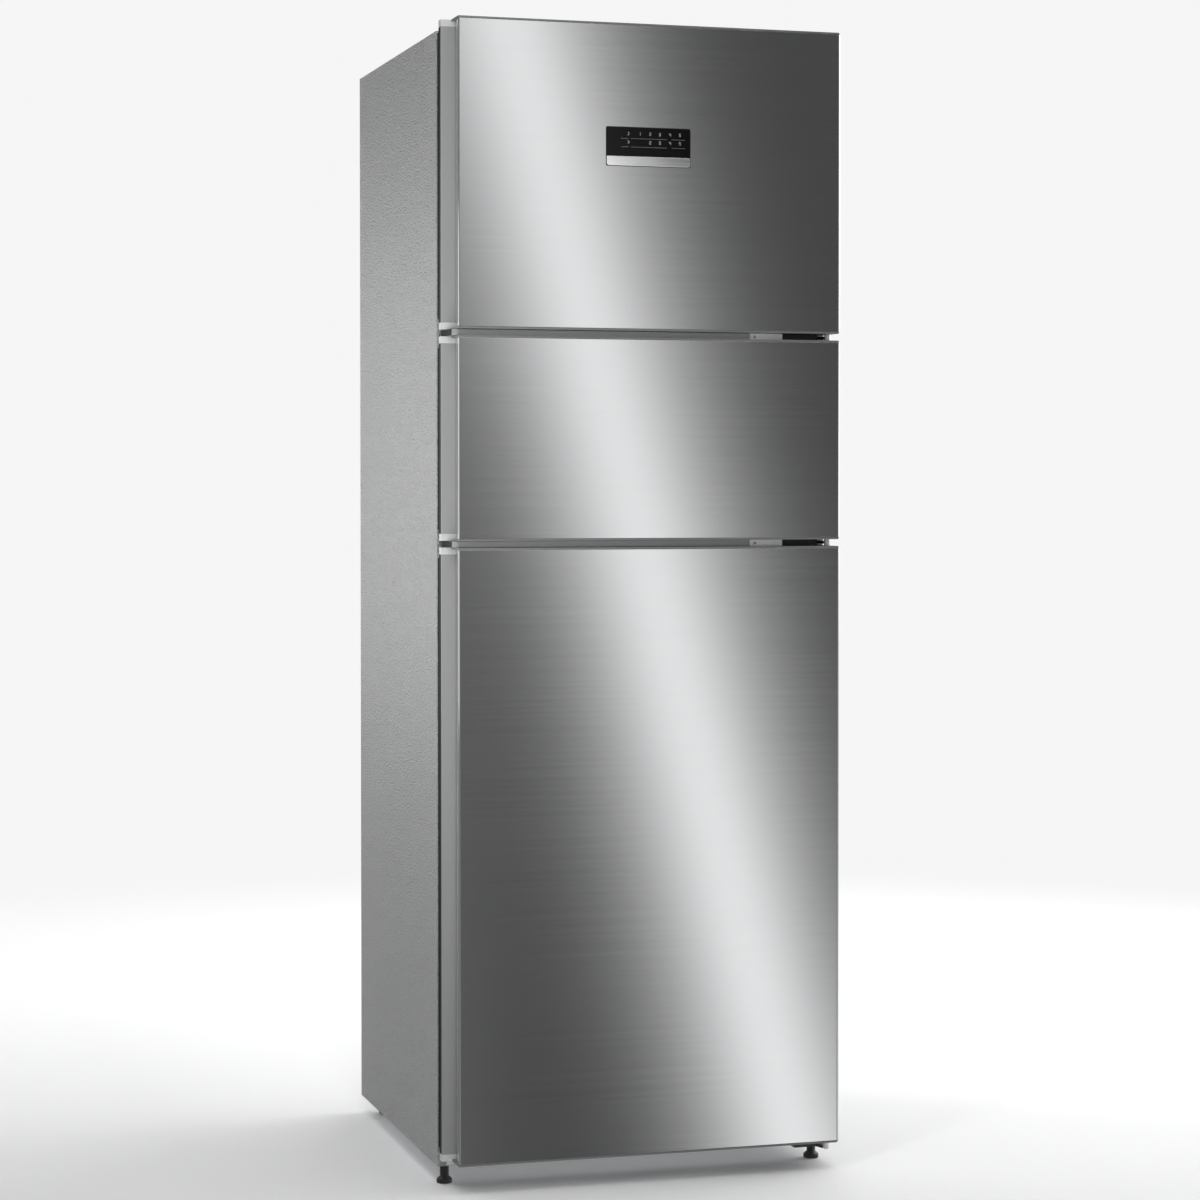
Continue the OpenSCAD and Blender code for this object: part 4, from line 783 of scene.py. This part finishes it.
def stroke(x0, z0, x1, z1, width):
    """Four corners of a straight stroke with square ends."""
    length = math.hypot(x1 - x0, z1 - z0)
    ux, uz = (x1 - x0) / length * width / 2, (z1 - z0) / length * width / 2
    return [(x0 - ux + uz, z0 - uz - ux), (x1 + ux + uz, z1 + uz - ux),
            (x1 + ux - uz, z1 + uz + ux), (x0 - ux - uz, z0 - uz + ux)]


def digit_strokes(char, x, z):
    w, h = MARK_SIZE
    for name in DIGITS[char]:
        c0, r0, c1, r1 = BARS[name]
        yield stroke(x + (c0 - 0.5) * w, z + (r0 - 1) * h / 2,
                     x + (c1 - 0.5) * w, z + (r1 - 1) * h / 2, MARK_STROKE)


def row_strokes(z, text):
    """A chevron and then the digits of a row."""
    w, h = MARK_SIZE
    left, right = CHEVRON_AT - w / 2, CHEVRON_AT + w / 2
    yield stroke(left, z + h / 2, right, z, CHEVRON_STROKE)
    yield stroke(right, z, left, z - h / 2, CHEVRON_STROKE)
    for char, x in zip(text, MARK_COLUMNS):
        yield from digit_strokes(char, x, z)


def strokes_piece(name, strokes, slot, front):
    """Thin raised marks on the front of the display."""
    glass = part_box("display_glass")
    left, top = glass[0][0], glass[1][2]
    verts, faces = [], []
    for corners in strokes:
        n = len(verts)
        verts += [(left + x * MM, y, top + z * MM) for y in (front - MARK_THICK * MM, front)
                  for x, z in corners]
        faces += [(n, n + 1, n + 2, n + 3)]
        faces += [(n + i, n + 4 + i, n + 4 + (i + 1) % 4, n + (i + 1) % 4) for i in range(4)]
    mesh = bpy.data.meshes.new(name)
    mesh.from_pydata(verts, [], faces)
    obj = bpy.data.objects.new(name, mesh)
    bpy.context.scene.collection.objects.link(obj)
    return finish_piece(obj, slot, BODY_OF["display_glass"])


def add_display_marks():
    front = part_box("display_glass")[0][1] - MARK_LIFT * MM
    marks, lines = [], []
    for drop, text in DISPLAY_ROWS:
        marks += list(row_strokes(-drop, text))
        z = -drop - LINE_DROP
        lines += [stroke(x0, z, x1, z, LINE_STROKE) for x0, x1 in LINE_STRETCHES]
    strokes_piece("display_marks", marks, "mark", front)
    strokes_piece("display_lines", lines, "faint_mark", front)


MATERIALS = make_materials()
add_camera()
add_floor()
add_reflection_card()
add_grey_cards()
add_light()
dress_nodes()
paint_cap_light_and_shade()
add_gap_shade_blocks()
add_display_shadow_line()
add_display_marks()
